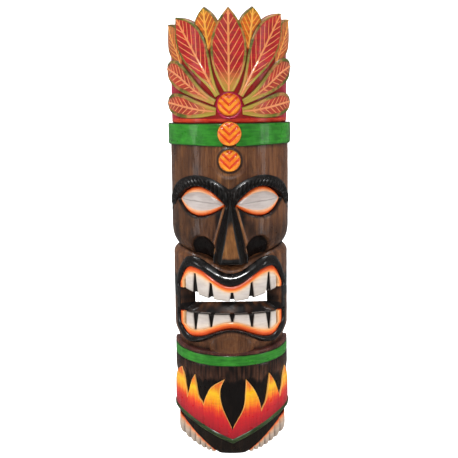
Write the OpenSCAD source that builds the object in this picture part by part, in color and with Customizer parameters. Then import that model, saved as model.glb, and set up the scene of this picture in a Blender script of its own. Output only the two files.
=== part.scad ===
// Hand-carved tiki wall figure: a hollowed half log whose carved and painted zones are separate solids,
// with a ring hanger screwed to the bridge at the back of the crown.
// Millimetres. X is the figure's width, -Y its face, +Z up. The origin is where the wall hook bears
// inside the ring, on the wall plane.

/* [Log] */
// Outer radius of the head, which is half the figure's width
log_radius = 67; // [56:0.1:80.4]
// Thickness of wood left between the hollow back and the head's surface
wall = 19; // [15:1:26]
// How far the crown's ground is cut in from the head's surface
crown_cut = 5; // [3:1:7]
// Height of the solid wood below the hollow
hollow_floor = 22; // [16:1:30]

/* [Tiers] */
// Height from the tip of the chin block to the bottom of the collar at the sides
skirt_h = 110; // [90:1:132]
// Height of the collar band at the sides
collar_h = 12.5; // [10:0.5:20]
// How far the collar drops from the sides to the front
collar_drop = 4; // [0:1:14]
// Height of the muzzle between the collar and the head, at the sides
muzzle_h = 115.5; // [112:0.5:138]
// Height of the head between the muzzle and the headband
head_h = 115; // [112:1:138]
// Height of the headband
band_h = 24; // [20:1:29]
// Height of the crown, from the headband to the centre leaf's tip
crown_h = 123; // [121:1:148]

/* [Relief] */
// Thickness of the headband and of the collar band
band_t = 4; // [3:0.5:6]
// Thickness of the leaves on the crown's ground
leaf_t = 7; // [5:0.5:9]
// Thickness of a rosette
rosette_t = 7; // [5:0.5:9]
// Radius of a rosette
rosette_r = 12; // [10:0.5:13]
// Depth of the eye sockets and of the mouth below the surface
socket_depth = 8; // [6:0.5:10]
// Height of the brows above the head's surface
brow_t = 4; // [3:0.5:6]
// How far the nose's tip stands out from the head's surface
nose_out = 13; // [9:0.5:16]
// Thickness of the flames on the skirt
flame_t = 1.2; // [1:0.1:2]
// Height of the chevron ridge, across its face
ridge_w = 6; // [4:0.5:8]

/* [Mouth] */
// Width of the slot that goes through the mouth
slot_w = 82; // [68:1:98]
// Height of the slot that goes through the mouth
slot_h = 24; // [18:1:26]
// Width of the gap between two teeth at its wide end
tooth_gap = 5.5; // [4:0.5:7]
// Width of the painted gum above or below the teeth
gum_w = 7; // [6:0.5:9]

/* [Hanger] */
// Height of the solid bridge across the back of the crown
bridge_h = 22; // [20:1:28]
// Inner radius of the ring
ring_r = 7; // [6:0.5:9]
// Thickness of the ring's wire
wire_d = 2; // [1.8:0.1:2.4]
// Width of the hanger strap
strap_w = 10; // [9:0.5:12]
// Length of the hanger strap below the ring's pivot
strap_l = 19; // [18:0.5:23]
// Thickness of the strap's sheet metal
strap_t = 1; // [0.8:0.1:1.2]
// Thread radius of the strap's screws
screw_r = 1.5; // [1.25:0.05:1.75]
// Length of a screw below its head
screw_l = 14; // [10:1:18]

/* [Hidden] */
$fn = 96;

// Left is the side with negative X, as seen when looking at the figure's face.
LEFT = -1;
RIGHT = 1;
far = 2 * log_radius;  // deeper and wider than any section of the log

// Heights of the tiers, from the chin block's lowest point
collar_z = skirt_h;
muzzle_z = collar_z + collar_h;
head_z = muzzle_z + muzzle_h;
band_z = head_z + head_h;
crown_z = band_z + band_h;
top_z = crown_z + crown_h;

// Radii of the log at each tier
hollow_r = log_radius - wall;
crown_r = log_radius - crown_cut;
band_seat_r = log_radius - 1;
muzzle_r = log_radius - 1;
muzzle_foot_r = muzzle_r - 5;
collar_seat_r = muzzle_foot_r - 1;
skirt_r = collar_seat_r + band_t - 1;
chin_r = skirt_r - 1;
socket_r = log_radius - socket_depth;
mouth_r = muzzle_r - socket_depth - 2;
waist_in = 6;   // how far the head and the muzzle round in where they meet
waist_h = 10;   // height of that rounding on each tier
side_rim = 20;  // the eye sockets and the mouth stop this far from the wall

// The hanger's bridge, its strap and the ring's pivot
bridge_top = top_z - 38;
hollow_top = bridge_top - bridge_h;
head_r = 2.8;           // radius of a screw's head
head_t = 1.6;           // thickness of a screw's head
screw_play = 0.25;      // clearance of a screw in the strap
pocket_depth = 2 * strap_t + 3;
wire_r = wire_d / 2;
pivot_play = 0.06;
pivot_r = wire_r + pivot_play;
knuckle_r = pivot_r + strap_t;
pivot_y = -pocket_depth + knuckle_r;
pivot_z = bridge_top + knuckle_r - 1;
ring_major = ring_r + wire_r;
ring_play = 1.5;        // room beside the ring in its pocket
pocket_half = ring_major + wire_r + ring_play;
hook_z = pivot_z + ring_r;     // where the hook bears, inside the top of the ring
screw_pitch = 8;
screw_low_z = pivot_z - strap_l + 4.5;

// ---- Shapes ---------------------------------------------------------------------------------

// Moves a piece from the chin's lowest point to the hook
module place() translate([0, 0, -hook_z]) children();

// A half turn of an outline in radius and height, on the figure's side of the wall
module half_turn() rotate([0, 0, 180]) rotate_extrude(angle = 180) children();

// The half log's skin between two radii and two heights
module skin(inner, outer, low, high) half_turn()
    polygon([[inner, low], [outer, low], [outer, high], [inner, high]]);

// An outline in X and Z, as seen from the front, run from the wall plane through the log
module facing(depth = far) rotate([90, 0, 0]) linear_extrude(depth) children();

// An outline carved on the half log's skin, no nearer the wall than start
module carved(inner, outer, low = 0, high = top_z + 2, start = 0) intersection() {
    skin(inner, outer, low, high);
    translate([0, -start, 0]) facing() children();
}

// Place on the skin of the head, from an angle round the log (0 is the front) and a height
function at(angle, z) = [log_radius * sin(angle), z];

// Point t of the way along a cubic curve
function curve(a, b, c, d, t) =
    pow(1 - t, 3) * a + 3 * pow(1 - t, 2) * t * b + 3 * (1 - t) * t * t * c + pow(t, 3) * d;

// One edge of a blade from base to tip: its fullness near the base and near the tip, to one side
function blade_edge(base, tip, side, low, high, steps = 8) =
    let (along = tip - base, across = side * [along[1], -along[0]] / norm(along))
    [for (i = [0:steps]) curve(base, base + along / 3 + low * across,
                               base + along * 2 / 3 + high * across, tip, i / steps)];

// A leaf-shaped outline. left and right are its fullness near the base and near the tip.
module blade(base, tip, left, right) {
    up = blade_edge(base, tip, -1, left[0], left[1]);
    down = blade_edge(base, tip, 1, right[0], right[1]);
    polygon(concat(up, [for (i = [len(down) - 2:-1:1]) down[i]]));
}

// The same blade for the left or the right side. outer and inner are its two edges.
module side_blade(side, base, tip, outer, inner)
    blade([side * base[0], base[1]], [side * tip[0], tip[1]],
          side == LEFT ? outer : inner, side == LEFT ? inner : outer);

// An outline drawn for the left, turned over for the right
module on(side) mirror([side == RIGHT ? 1 : 0, 0]) children();

module strip(low, high) translate([-far, low]) square([2 * far, high - low]);

// A slab across the log whose top and bottom drop by collar_drop from the sides to the front
module collar_slab(low, high) rotate([90, 0, 90]) translate([0, 0, -far]) linear_extrude(2 * far)
    polygon([[1, low], [1, high], [-far, high - collar_drop * far / log_radius],
             [-far, low - collar_drop * far / log_radius]]);

// ---- Crown ----------------------------------------------------------------------------------

rosette_z = crown_z + 19;          // centre of the crown's rosette
rosette_rim = 3.5;                 // width of the ring round it
moulding_h = 7;
leaf_foot = rosette_z + rosette_r + rosette_rim - 0.5;

// Place inside the ring round the rosette, at an angle from straight up, where a leaf springs from
function ring_place(angle) = [(rosette_r + 2) * sin(angle), rosette_z + (rosette_r + 2) * cos(angle)];

module center_outline() blade([0, leaf_foot], [0, top_z], [15, 28], [15, 28]);
module tall_outline(side) side_blade(side, ring_place(42), at(60, top_z - 7), [5, 33], [2, 38]);
module peak_outline(side) side_blade(side, at(17, leaf_foot + 26), at(22.5, top_z + 1), [12, 27], [12, 27]);
module corner_outline(side) side_blade(side, at(41, leaf_foot + 17), at(81, top_z - 12), [8, 18], [14, 30]);
module side_outline(side) side_blade(side, ring_place(75), [log_radius + 6, rosette_z + 43],
                                     [16, 20], [3, 24]);
module low_outline(side) side_blade(side, ring_place(104), [log_radius + 6, rosette_z + 2],
                                    [22, 22], [18, 22]);

module rosette_hole() translate([0, rosette_z]) circle(rosette_r + rosette_rim);

// What is sawn away between the tips of the leaves
module crown_waste() difference() {
    strip(rosette_z + 45, top_z + 4);
    center_outline();
    for (side = [LEFT, RIGHT]) {
        tall_outline(side);
        peak_outline(side);
        corner_outline(side);
        side_outline(side);
    }
}

module hanger_pocket() translate([-pocket_half, -pocket_depth, hollow_top - 1])
    cube([2 * pocket_half, pocket_depth + 1, bridge_h + 2]);

module screw_places() for (i = [0, 1]) translate([0, 0, screw_low_z + i * screw_pitch]) children();

// Shell above and below the hanger's bridge
module crown_body() half_turn() polygon([
    [hollow_r, crown_z], [crown_r, crown_z], [crown_r, top_z + 2], [hollow_r, top_z + 2],
    [hollow_r, bridge_top + 14], [hollow_r - 8, bridge_top + 3], [hollow_r - 20, bridge_top],
    [0, bridge_top], [0, hollow_top], [hollow_r - 14, hollow_top], [hollow_r, hollow_top - 14]]);

module crown_block() place() color("firebrick") difference() {
    crown_body();
    facing() crown_waste();
    hanger_pocket();
    screw_places() translate([0, -pocket_depth + 1, 0]) rotate([90, 0, 0])
        cylinder(r = screw_r, h = screw_l + 1);
}

module leaf(tint, outer = crown_r + leaf_t) place() color(tint) carved(crown_r, outer, crown_z) children();

module leaf_center() leaf("crimson") difference() {
    center_outline();
    rosette_hole();
}

module leaf_tall(side) leaf("crimson", crown_r + leaf_t - 1) difference() {
    tall_outline(side);
    center_outline();
    rosette_hole();
}

module leaf_peak(side) leaf("goldenrod", crown_r + leaf_t - 3) difference() {
    peak_outline(side);
    center_outline();
    tall_outline(side);
}

module leaf_corner(side) leaf("peru", crown_r + leaf_t - 1) difference() {
    corner_outline(side);
    tall_outline(side);
    side_outline(side);
}

module leaf_side(side) leaf("indianred") difference() {
    side_outline(side);
    tall_outline(side);
    rosette_hole();
}

module leaf_low(side) leaf("indianred") difference() {
    low_outline(side);
    side_outline(side);
    rosette_hole();
    strip(0, crown_z + moulding_h);
}

module crown_moulding() place() color("orangered") carved(crown_r, crown_r + 4) difference() {
    strip(crown_z, crown_z + moulding_h);
    translate([0, rosette_z]) circle(rosette_r + rosette_rim);
    translate([0, rosette_band_z]) circle(rosette_r + 1);
}

// ---- Rosettes and headband --------------------------------------------------------------------

rosette_gap = 3.5;                                        // between the band's and the brow's rosettes
rosette_band_z = crown_z - rosette_r + 0.5;
rosette_brow_z = rosette_band_z - 2 * rosette_r - 1 - rosette_gap;

module rosette(seat_r, z, r) place() color("darkorange") intersection() {
    skin(seat_r, seat_r + 2 * rosette_t, z - r - 1, z + r + 1);
    translate([0, -seat_r - rosette_t, z]) rotate([-90, 0, 0]) cylinder(r = r, h = seat_r);
}

// The headband's rosette is a little larger, and is cut to the head's surface below the band.
module rosette_band() color("darkorange") difference() {
    rosette(band_seat_r, rosette_band_z, rosette_r + 1);
    place() skin(0, log_radius, 0, band_z);
}

module rosette_ring() place() color("mediumvioletred") carved(crown_r, crown_r + 4) difference() {
    rosette_hole();
    translate([0, rosette_z]) circle(rosette_r);
    strip(0, crown_z);
    translate([0, rosette_band_z]) circle(rosette_r + 1);
}

module headband(side) place() color("forestgreen")
    carved(band_seat_r, band_seat_r + band_t) difference() {
        on(side) translate([-far, band_z]) square([far, band_h]);
        translate([0, rosette_band_z]) circle(rosette_r + 1);
    }

// ---- Head -------------------------------------------------------------------------------------

smile_drop = 20;         // how far the muzzle's upper edge dips at the middle
smile_w = log_radius - 5; // half the width of that dip
smile_r = (pow(smile_w, 2) + pow(smile_drop, 2)) / (2 * smile_drop);
eye_z = head_z + 49;     // height of the inner eye corners

// The edge between the head and the muzzle, seen from the front
module below_head() difference() {
    strip(0, head_z);
    translate([0, head_z - smile_drop + smile_r]) circle(smile_r);
}

// Almonds between an eye's corners: the whole socket, and the white inside its painted rim
module socket_outline(side) side_blade(side, at(4, eye_z), at(62, eye_z + 4), [20, 30], [21, 29]);
module eye_outline(side) side_blade(side, at(7, eye_z), at(58, eye_z + 6), [14, 21], [13, 17]);

// The brow: a round hood over the socket, above a line through the eye's corners
module brow_outline(side) difference() {
    intersection() {
        translate([side * log_radius * sin(30.5), eye_z - 4]) circle(log_radius * 0.56);
        translate([side > 0 ? 0 : -far, eye_z + 1]) square([far, far]);
    }
    socket_outline(side);
}

module head_body() half_turn() polygon([
    [hollow_r, head_z - smile_drop - 1], [log_radius - waist_in, head_z - smile_drop - 1],
    [log_radius - waist_in, head_z], [log_radius - 2, head_z + waist_h * 0.55],
    [log_radius, head_z + waist_h], [log_radius, band_z], [band_seat_r, band_z],
    [band_seat_r, crown_z], [hollow_r, crown_z]]);

module head_block() place() color("saddlebrown") difference() {
    head_body();
    facing() below_head();
    for (side = [LEFT, RIGHT]) {
        carved(socket_r, far, head_z, start = side_rim) socket_outline(side);
        cheek_hollow(side);
    }
}

module brow(side) place() color("black")
    carved(log_radius, log_radius + brow_t, head_z) brow_outline(side);

module eye_rim(side) place() color("orangered")
    carved(socket_r, socket_r + 6, head_z, start = side_rim) difference() {
        socket_outline(side);
        eye_outline(side);
    }

module eye(side) place() color("ivory") carved(socket_r, socket_r + 5, head_z, start = side_rim)
    eye_outline(side);

// Nose: a wedge from between the brows to its broad tip, between two round hollows under the cheeks
nose_top = eye_z - 1;
nose_low = head_z - 9;
nose_half = 17;      // half the width of its foot
hollow_ball = 15;    // radius of the hollow beside the nose

module nose_profile() rotate([90, 0, 90]) translate([0, 0, -nose_half]) linear_extrude(2 * nose_half)
    polygon([[0, nose_top], [-log_radius - 1, nose_top], [-log_radius - nose_out, nose_low + 9],
             [-log_radius - nose_out + 1, nose_low + 2], [-log_radius - nose_out + 5, nose_low],
             [0, nose_low]]);

module nose() place() color("sienna") intersection() {
    nose_profile();
    facing() polygon([[-2, nose_top], [2, nose_top], [nose_half, nose_low + 4], [nose_half - 3, nose_low],
                      [-nose_half + 3, nose_low], [-nose_half, nose_low + 4]]);
    half_turn() translate([log_radius, nose_low]) square([far, nose_top - nose_low]);
}

module cheek_hollow(side) translate([side * log_radius * 0.49, -log_radius - 2, head_z]) sphere(hollow_ball);

// ---- Muzzle and mouth -------------------------------------------------------------------------

lip_w = 7;                       // width of the dark lips
bite_z = muzzle_z + 56.5;        // the level between the two rows of teeth
mouth_half = muzzle_r * sin(64); // half the width of the gums
slot_low = bite_z - 14;

// Height of the upper row's edges over the bite at share s of its half width: low at the middle,
// high over the corner teeth, and round at the corner
function arch(s, middle, rise) = middle + rise * (1 - cos(min(abs(s) / 0.76, 1) * 180)) / 2
    - rise * 1.15 * pow(max(abs(s) - 0.76, 0) / 0.24, 2.4);
function bite(s, middle, rise) = middle + rise * pow(abs(s), 1.8);

// A row's outline between its bite edge, lowered by drop, and its arch, raised by grow. The row is
// half wide each way and is drawn out to share reach of that. up is -1 for the lower row.
module row_outline(row, up, half, grow, drop, reach) {
    steps = 13;
    shares = [for (i = [-steps:steps]) reach * i / steps];
    polygon(concat([for (s = shares) [half * s, bite_z + up * (arch(s, row[0], row[1]) + grow)]],
                   [for (s = shares) [-half * s, bite_z + up * (bite(s, row[2], row[3]) - drop)]]));
}

// Upper row: middle of its arch over the bite, rise of the arch, middle of the bite edge, its rise
upper = [19, 20, 1.5, 11];
lower = [29, 12, 13.5, 2];

tooth_reach = 0.93;   // share of the row's half width that the teeth take up

module gum_area(row, up) row_outline(row, up, mouth_half, 0, 0, 1);
module lip_area(row, up) row_outline(row, up, mouth_half + lip_w / 2, lip_w, row[2] + row[3], 1);
module teeth_area(row, up) row_outline(row, up, mouth_half, -gum_w, 1, tooth_reach);

// The whole mouth: both rows and what lies between them
module mouth_outline() {
    gum_area(upper, 1);
    gum_area(lower, -1);
    translate([-mouth_half, bite_z - lower[2] - lower[3] - 1])
        square([2 * mouth_half, upper[2] + upper[3] + lower[2] + lower[3] + 2]);
}

module muzzle_body() half_turn() polygon([
    [hollow_r, collar_z - collar_drop - 2], [muzzle_foot_r, collar_z - collar_drop - 2],
    [muzzle_foot_r, muzzle_z + 4], [muzzle_r - 2, muzzle_z + 12], [muzzle_r, muzzle_z + 20],
    [muzzle_r, head_z - waist_h], [muzzle_r - 1.5, head_z - waist_h / 2],
    [log_radius - waist_in, head_z], [hollow_r, head_z]]);

module muzzle_block() place() color("saddlebrown") difference() {
    intersection() {
        muzzle_body();
        facing() below_head();
    }
    collar_slab(0, muzzle_z);
    carved(mouth_r, far, muzzle_z, start = side_rim) mouth_outline();
    facing() translate([-slot_w / 2, slot_low]) square([slot_w, slot_h]);
}

module gum(row, up) place() color("orangered") carved(mouth_r, muzzle_r, start = side_rim) difference() {
    gum_area(row, up);
    teeth_area(row, up);
}

// The wedge between two teeth: wide at the bite, with its point towards the gum
module gap_wedge(s, row, up) translate([s * mouth_half, bite_z + up * bite(s, row[2], row[3])])
    polygon([[-tooth_gap / 2, -up * 6], [tooth_gap / 2, -up * 6], [tooth_gap / 2, 0],
             [0.3, up * (arch(s, row[0], row[1]) - bite(s, row[2], row[3]) - gum_w)],
             [-0.3, up * (arch(s, row[0], row[1]) - bite(s, row[2], row[3]) - gum_w)],
             [-tooth_gap / 2, 0]]);

gap_places = [-0.72, -0.4, 0.02, 0.41, 0.76];

// The strip between two gaps that holds tooth number index, from 0 at the left
module tooth_strip(index) {
    low = index == 0 ? -1.2 : gap_places[index - 1];
    high = index == len(gap_places) ? 1.2 : gap_places[index];
    translate([low * mouth_half, 0]) square([(high - low) * mouth_half, top_z]);
}

module tooth_outline(index, row, up) difference() {
    intersection() {
        gum_area(row, up);
        teeth_area(row, up);
        tooth_strip(index);
    }
    for (s = gap_places) gap_wedge(s, row, up);
}

module tooth(index, row, up) place() color("ivory")
    carved(mouth_r, muzzle_r - 1, start = side_rim) tooth_outline(index, row, up);

// Dark lips round the gums, kept between the head and the collar
module lip(row, up) place() color([0.12, 0.08, 0.07]) carved(muzzle_r, muzzle_r + 3) difference() {
    lip_area(row, up);
    mouth_outline();
    if (up > 0) {
        translate([0, head_z - smile_drop + smile_r]) circle(smile_r + 1);
        strip(0, bite_z);
    } else strip(bite_z, top_z);
}

// The chin: a round boss below the lower lip, down to the collar
module chin() place() color("sienna") difference() {
    carved(muzzle_foot_r, muzzle_r + 2) difference() {
        translate([0, muzzle_z + 9]) circle(28);
        lip_area(lower, -1);
    }
    muzzle_body();
    collar_slab(0, muzzle_z);
}

// ---- Collar, skirt and feet ---------------------------------------------------------------------

chevron_rise = 29;   // how much higher the chevron is at the sides than at its point
chevron_z = 18;      // height of the chevron's point
foot_half = 19;      // half the width of the chin block's foot
foot_z = 3;          // height of the foot's corner
foot_side_z = 38;    // height where a foot's inner edge meets the side

function chevron(x) = chevron_z + chevron_rise * abs(x) / log_radius;
module above_chevron(lift = 0) polygon([[0, chevron(0) + lift], [far, chevron(far) + lift],
    [far, far + top_z], [-far, far + top_z], [-far, chevron(far) + lift]]);

module collar_band() place() color("forestgreen") intersection() {
    skin(collar_seat_r, collar_seat_r + band_t + 2, 0, muzzle_z);
    collar_slab(collar_z, muzzle_z);
}

module skirt_body() half_turn() polygon([
    [hollow_r, 0], [skirt_r, 0], [skirt_r, collar_z + collar_h], [hollow_r, collar_z + collar_h]]);

module skirt_block() place() color([0.22, 0.13, 0.09]) difference() {
    intersection() {
        skirt_body();
        facing() above_chevron();
        collar_slab(-far, muzzle_z);
    }
    difference() {
        skin(collar_seat_r, far, 0, muzzle_z + 1);
        collar_slab(-far, collar_z);
    }
}

module chevron_ridge() place() color("darkolivegreen") carved(skirt_r, skirt_r + 3) difference() {
    above_chevron(-ridge_w / 2);
    above_chevron(ridge_w / 2);
}

// Height of the edge between the chin block and a foot, at x from the middle
function foot_line(x) = foot_z + (foot_side_z - foot_z) * (x - foot_half) / (log_radius - foot_half);

// The chin block's outline: a V below the chevron, cut off round at its foot
module chin_outline() difference() {
    polygon([[0, 0], [foot_half - 4, 0.6], [foot_half, foot_z], [far, foot_line(far)], [-far, foot_line(far)],
             [-foot_half, foot_z], [-foot_half + 4, 0.6]]);
    above_chevron();
}

module chin_body() {
    half_turn() polygon([[0, 0], [chin_r - 12, 0], [chin_r - 4, 3], [chin_r, 12], [chin_r, muzzle_z],
                         [hollow_r, muzzle_z], [hollow_r, hollow_floor + 12],
                         [hollow_r - 12, hollow_floor], [0, hollow_floor]]);
}

module chin_block() place() color([0.1, 0.07, 0.06]) difference() {
    intersection() {
        chin_body();
        facing() chin_outline();
    }
    carved(skirt_r, far) above_chevron(-ridge_w / 2);
}

// A foot: the corner beside the chin block, with toes along its lower edge
toes = 7;
toe_depth = 3;
toe_start = foot_half + 1;
toe_rise = 14;
function toe_edge(s) = [-toe_start - s * (log_radius + 3 - toe_start), foot_line(toe_start) - 0.5
                        + toe_rise * pow(s, 1.5) - toe_depth * pow(abs(sin(180 * toes * s)), 0.6)];

module foot(side) place() color("linen") intersection() {
    half_turn() polygon([[hollow_r - 20, 0], [chin_r - 6, 0], [chin_r, 12], [chin_r + 1, chevron(log_radius)],
                         [hollow_r, chevron(log_radius)], [hollow_r, hollow_floor + 12],
                         [hollow_r - 12, hollow_floor], [hollow_r - 20, hollow_floor]]);
    facing() on(side) difference() {
        polygon(concat([for (i = [0:6 * toes]) toe_edge(i / (6 * toes))],
                       [[-far, 24], [-far, foot_side_z * 2], [-toe_start, foot_side_z * 2]]));
        chin_outline();
        above_chevron();
    }
}

// Flames: three blades a side, over a bed along the chevron
module flame(base, tip, outer, inner) side_blade(LEFT, base, tip, outer, inner);

module flame_outline() intersection() {
    union() {
        flame(at(11, 34), at(9, 88), [20, 26], [-4, 14]);
        flame(at(34, 45), at(43, 89), [22, 14], [16, 6]);
        flame(at(60, 52), at(72, 92), [22, 14], [16, 4]);
        polygon([[0, chevron(0)], [-far, chevron(far)], [-far, chevron(far) + 8], at(-50, 60), at(-30, 53),
                 at(-12, 50), [-0.5, 32]]);
    }
    above_chevron(ridge_w / 2);
    translate([-far, 0]) square([far, top_z]);
}

module flames(side) place() color("gold") carved(skirt_r, skirt_r + flame_t) on(side) flame_outline();

// ---- Hanger -------------------------------------------------------------------------------------

// A strap folded round the ring's straight side, with its two leaves screwed flat in the pocket
module hanger_strap() place() color("silver") difference() {
    union() {
        translate([-strap_w / 2, pivot_y, pivot_z]) rotate([0, 90, 0]) cylinder(r = knuckle_r, h = strap_w);
        translate([-strap_w / 2, -pocket_depth, pivot_z - strap_l])
            cube([strap_w, 2 * strap_t, strap_l]);
    }
    translate([-strap_w / 2 - 1, pivot_y, pivot_z]) rotate([0, 90, 0]) cylinder(r = pivot_r, h = strap_w + 2);
    screw_places() translate([0, 1, 0]) rotate([90, 0, 0]) cylinder(r = screw_r + screw_play, h = pocket_depth + 2);
}

module hanger_ring() place() color("silver") translate([0, pivot_y, pivot_z]) {
    rotate([90, 0, 0]) rotate_extrude(angle = 180) translate([ring_major, 0]) circle(wire_r, $fn = 48);
    for (side = [LEFT, RIGHT]) translate([side * ring_major, 0, 0]) sphere(wire_r, $fn = 48);
    translate([-ring_major, 0, 0]) rotate([0, 90, 0]) cylinder(r = wire_r, h = 2 * ring_major, $fn = 48);
}

// Two pan-headed wood screws through the strap into the bridge
module hanger_screws() place() color("gainsboro") screw_places() {
    translate([0, -pocket_depth + 2 * strap_t + head_t, 0]) rotate([90, 0, 0]) cylinder(r = head_r, h = head_t);
    translate([0, -pocket_depth + 2 * strap_t, 0]) rotate([90, 0, 0])
        cylinder(r = screw_r, h = 2 * strap_t + screw_l - 1);
}

// ---- Nodes --------------------------------------------------------------------------------------

crown_block();
head_block();
muzzle_block();
skirt_block();
chin_block();
foot(LEFT);  // foot_left
foot(RIGHT);  // foot_right
leaf_center();
leaf_peak(LEFT);  // leaf_peak_left
leaf_peak(RIGHT);  // leaf_peak_right
leaf_tall(LEFT);  // leaf_tall_left
leaf_tall(RIGHT);  // leaf_tall_right
leaf_corner(LEFT);  // leaf_corner_left
leaf_corner(RIGHT);  // leaf_corner_right
leaf_side(LEFT);  // leaf_side_left
leaf_side(RIGHT);  // leaf_side_right
leaf_low(LEFT);  // leaf_low_left
leaf_low(RIGHT);  // leaf_low_right
crown_moulding();
rosette_ring();
rosette(crown_r, rosette_z, rosette_r);  // rosette_crown
rosette_band();
rosette(log_radius, rosette_brow_z, rosette_r);  // rosette_brow
headband(LEFT);  // headband_left
headband(RIGHT);  // headband_right
brow(LEFT);  // brow_left
brow(RIGHT);  // brow_right
eye_rim(LEFT);  // eye_rim_left
eye_rim(RIGHT);  // eye_rim_right
eye(LEFT);  // eye_left
eye(RIGHT);  // eye_right
nose();
lip(upper, 1);  // upper_lip
lip(lower, -1);  // lower_lip
gum(upper, 1);  // upper_gum
gum(lower, -1);  // lower_gum
chin();
for (i = [0:5]) {
    tooth(i, upper, 1);
    tooth(i, lower, -1);
}
collar_band();
flames(LEFT);  // flames_left
flames(RIGHT);  // flames_right
chevron_ridge();
hanger_strap();
hanger_ring();
hanger_screws();
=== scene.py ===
"""A carved and painted tiki wall figure: the painted relief is modelled zone by zone on the half log."""

import functools
import math

import bmesh
import bpy
from mathutils import Matrix, Vector, noise


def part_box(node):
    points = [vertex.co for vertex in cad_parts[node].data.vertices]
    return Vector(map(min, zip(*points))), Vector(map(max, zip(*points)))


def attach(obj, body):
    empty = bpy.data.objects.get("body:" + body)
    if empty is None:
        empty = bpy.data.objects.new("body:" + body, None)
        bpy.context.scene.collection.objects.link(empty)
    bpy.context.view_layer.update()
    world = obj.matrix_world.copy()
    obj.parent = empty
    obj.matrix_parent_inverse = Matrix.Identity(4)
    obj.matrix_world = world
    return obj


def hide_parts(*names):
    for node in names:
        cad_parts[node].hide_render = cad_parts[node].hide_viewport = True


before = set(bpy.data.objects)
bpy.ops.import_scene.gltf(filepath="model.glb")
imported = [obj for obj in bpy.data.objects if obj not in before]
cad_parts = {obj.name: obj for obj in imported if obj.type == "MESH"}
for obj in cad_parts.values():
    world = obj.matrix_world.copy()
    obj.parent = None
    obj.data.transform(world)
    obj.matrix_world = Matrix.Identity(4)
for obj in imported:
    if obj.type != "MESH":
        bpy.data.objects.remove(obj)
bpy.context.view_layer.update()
MM = 0.001

# ---- Driving sizes, read from the frame, in millimetres above the chin block's tip ---------------

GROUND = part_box("chin_block")[0][2]


def height_of(node, end):
    """Height of a node's lowest (0) or highest (1) point above the tip of the chin block."""
    return (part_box(node)[end][2] - GROUND) / MM


def reach_of(node):
    """Half the width of a node, which is the radius of a zone that runs round the log."""
    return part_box(node)[1][0] / MM


LOG = reach_of("head_block")
BACK = 48.0                      # radius of the hollow behind the face
CROWN = reach_of("crown_block")
BAND = reach_of("headband_right")
MUZZLE = reach_of("muzzle_block")
MUZZLE_FOOT = MUZZLE - 5
COLLAR = reach_of("collar_band")
SKIRT = reach_of("skirt_block")
BAND_Z = height_of("headband_left", 0)
CROWN_Z = height_of("headband_left", 1)
BAND_H, HEAD_H = 24, 115
HEAD_Z = CROWN_Z - BAND_H - HEAD_H
COLLAR_Z = height_of("collar_band", 0)
COLLAR_TOP = height_of("collar_band", 1)
COLLAR_DROP = 4.0
COLLAR_H = COLLAR_TOP - COLLAR_Z - COLLAR_DROP
TOP_Z = height_of("leaf_center", 1)
ROSETTE_Z = (height_of("rosette_crown", 0) + height_of("rosette_crown", 1)) / 2
ROSETTE_R = (height_of("rosette_crown", 1) - height_of("rosette_crown", 0)) / 2
ROSETTE_BAND_Z = (height_of("rosette_band", 0) + height_of("rosette_band", 1)) / 2
ROSETTE_BROW_Z = (height_of("rosette_brow", 0) + height_of("rosette_brow", 1)) / 2
BITE = COLLAR_TOP + 56.5
MOUTH = MUZZLE * math.sin(math.radians(64))       # half the mouth's width
CHEVRON_Z, CHEVRON_RISE = 18.0, 29.0
HALF_ROUND = LOG * math.pi / 2   # arc from the front of the log to its side


# ---- Places on the log: (arc, height) in millimetres, arc measured round the head from the front --

def clamp(value, low=0.0, high=1.0):
    return max(low, min(high, value))


def smooth(value):
    value = clamp(value)
    return value * value * (3 - 2 * value)


def arc(degrees, z):
    return (math.radians(degrees) * LOG, z)


def front(x, z):
    """The place seen at x and z from straight ahead."""
    return (math.asin(clamp(x / LOG, -1, 1)) * LOG, z)


def sight(u):
    """How far to the side a place is seen from straight ahead."""
    return LOG * math.sin(clamp(u / LOG, -math.pi / 2, math.pi / 2))


def chevron(x):
    return CHEVRON_Z + CHEVRON_RISE * abs(x) / LOG


SMILE_W = LOG - 3
SMILE_RISE = 20
SMILE_LOW = HEAD_Z - SMILE_RISE


def smile(x):
    """The edge between the head and the muzzle."""
    return SMILE_LOW + SMILE_RISE * min(1, (x * x + 36) / (SMILE_W ** 2 + 36)) ** 0.42


def collar_top(u):
    """Height of the collar's upper edge, which dips towards the front."""
    return COLLAR_TOP - COLLAR_DROP * math.cos(u / LOG)


def round_the_log(low, high, start=-90, end=90):
    """Edges that run round the log between two angles, at heights given by functions of the arc."""
    def at(t):
        return math.radians(start + (end - start) * t) * LOG
    return (lambda t: (at(t), low(at(t))), lambda t: (at(t), high(at(t))))


def rail(points):
    """A smooth edge through points, as a function of the share from its first to its last point."""
    last = len(points) - 1

    def place(t):
        i = min(int(t * last), last - 1)
        f = t * last - i
        a, b, c, d = (points[clamp_index(i + k, last)] for k in (-1, 0, 1, 2))
        return tuple(
            0.5 * (2 * b[k] + (c[k] - a[k]) * f + (2 * a[k] - 5 * b[k] + 4 * c[k] - d[k]) * f * f
                   + (3 * b[k] - a[k] - 3 * c[k] + d[k]) * f ** 3)
            for k in (0, 1))

    return place


def clamp_index(i, last):
    return max(0, min(last, i))


def fullness(t, full, foot):
    """Half the width of a leaf shape at share t of its length."""
    return foot * (1 - t) ** 3 + 3 * (1 - t) ** 2 * t * full[0] + 3 * (1 - t) * t * t * full[1]


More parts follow.
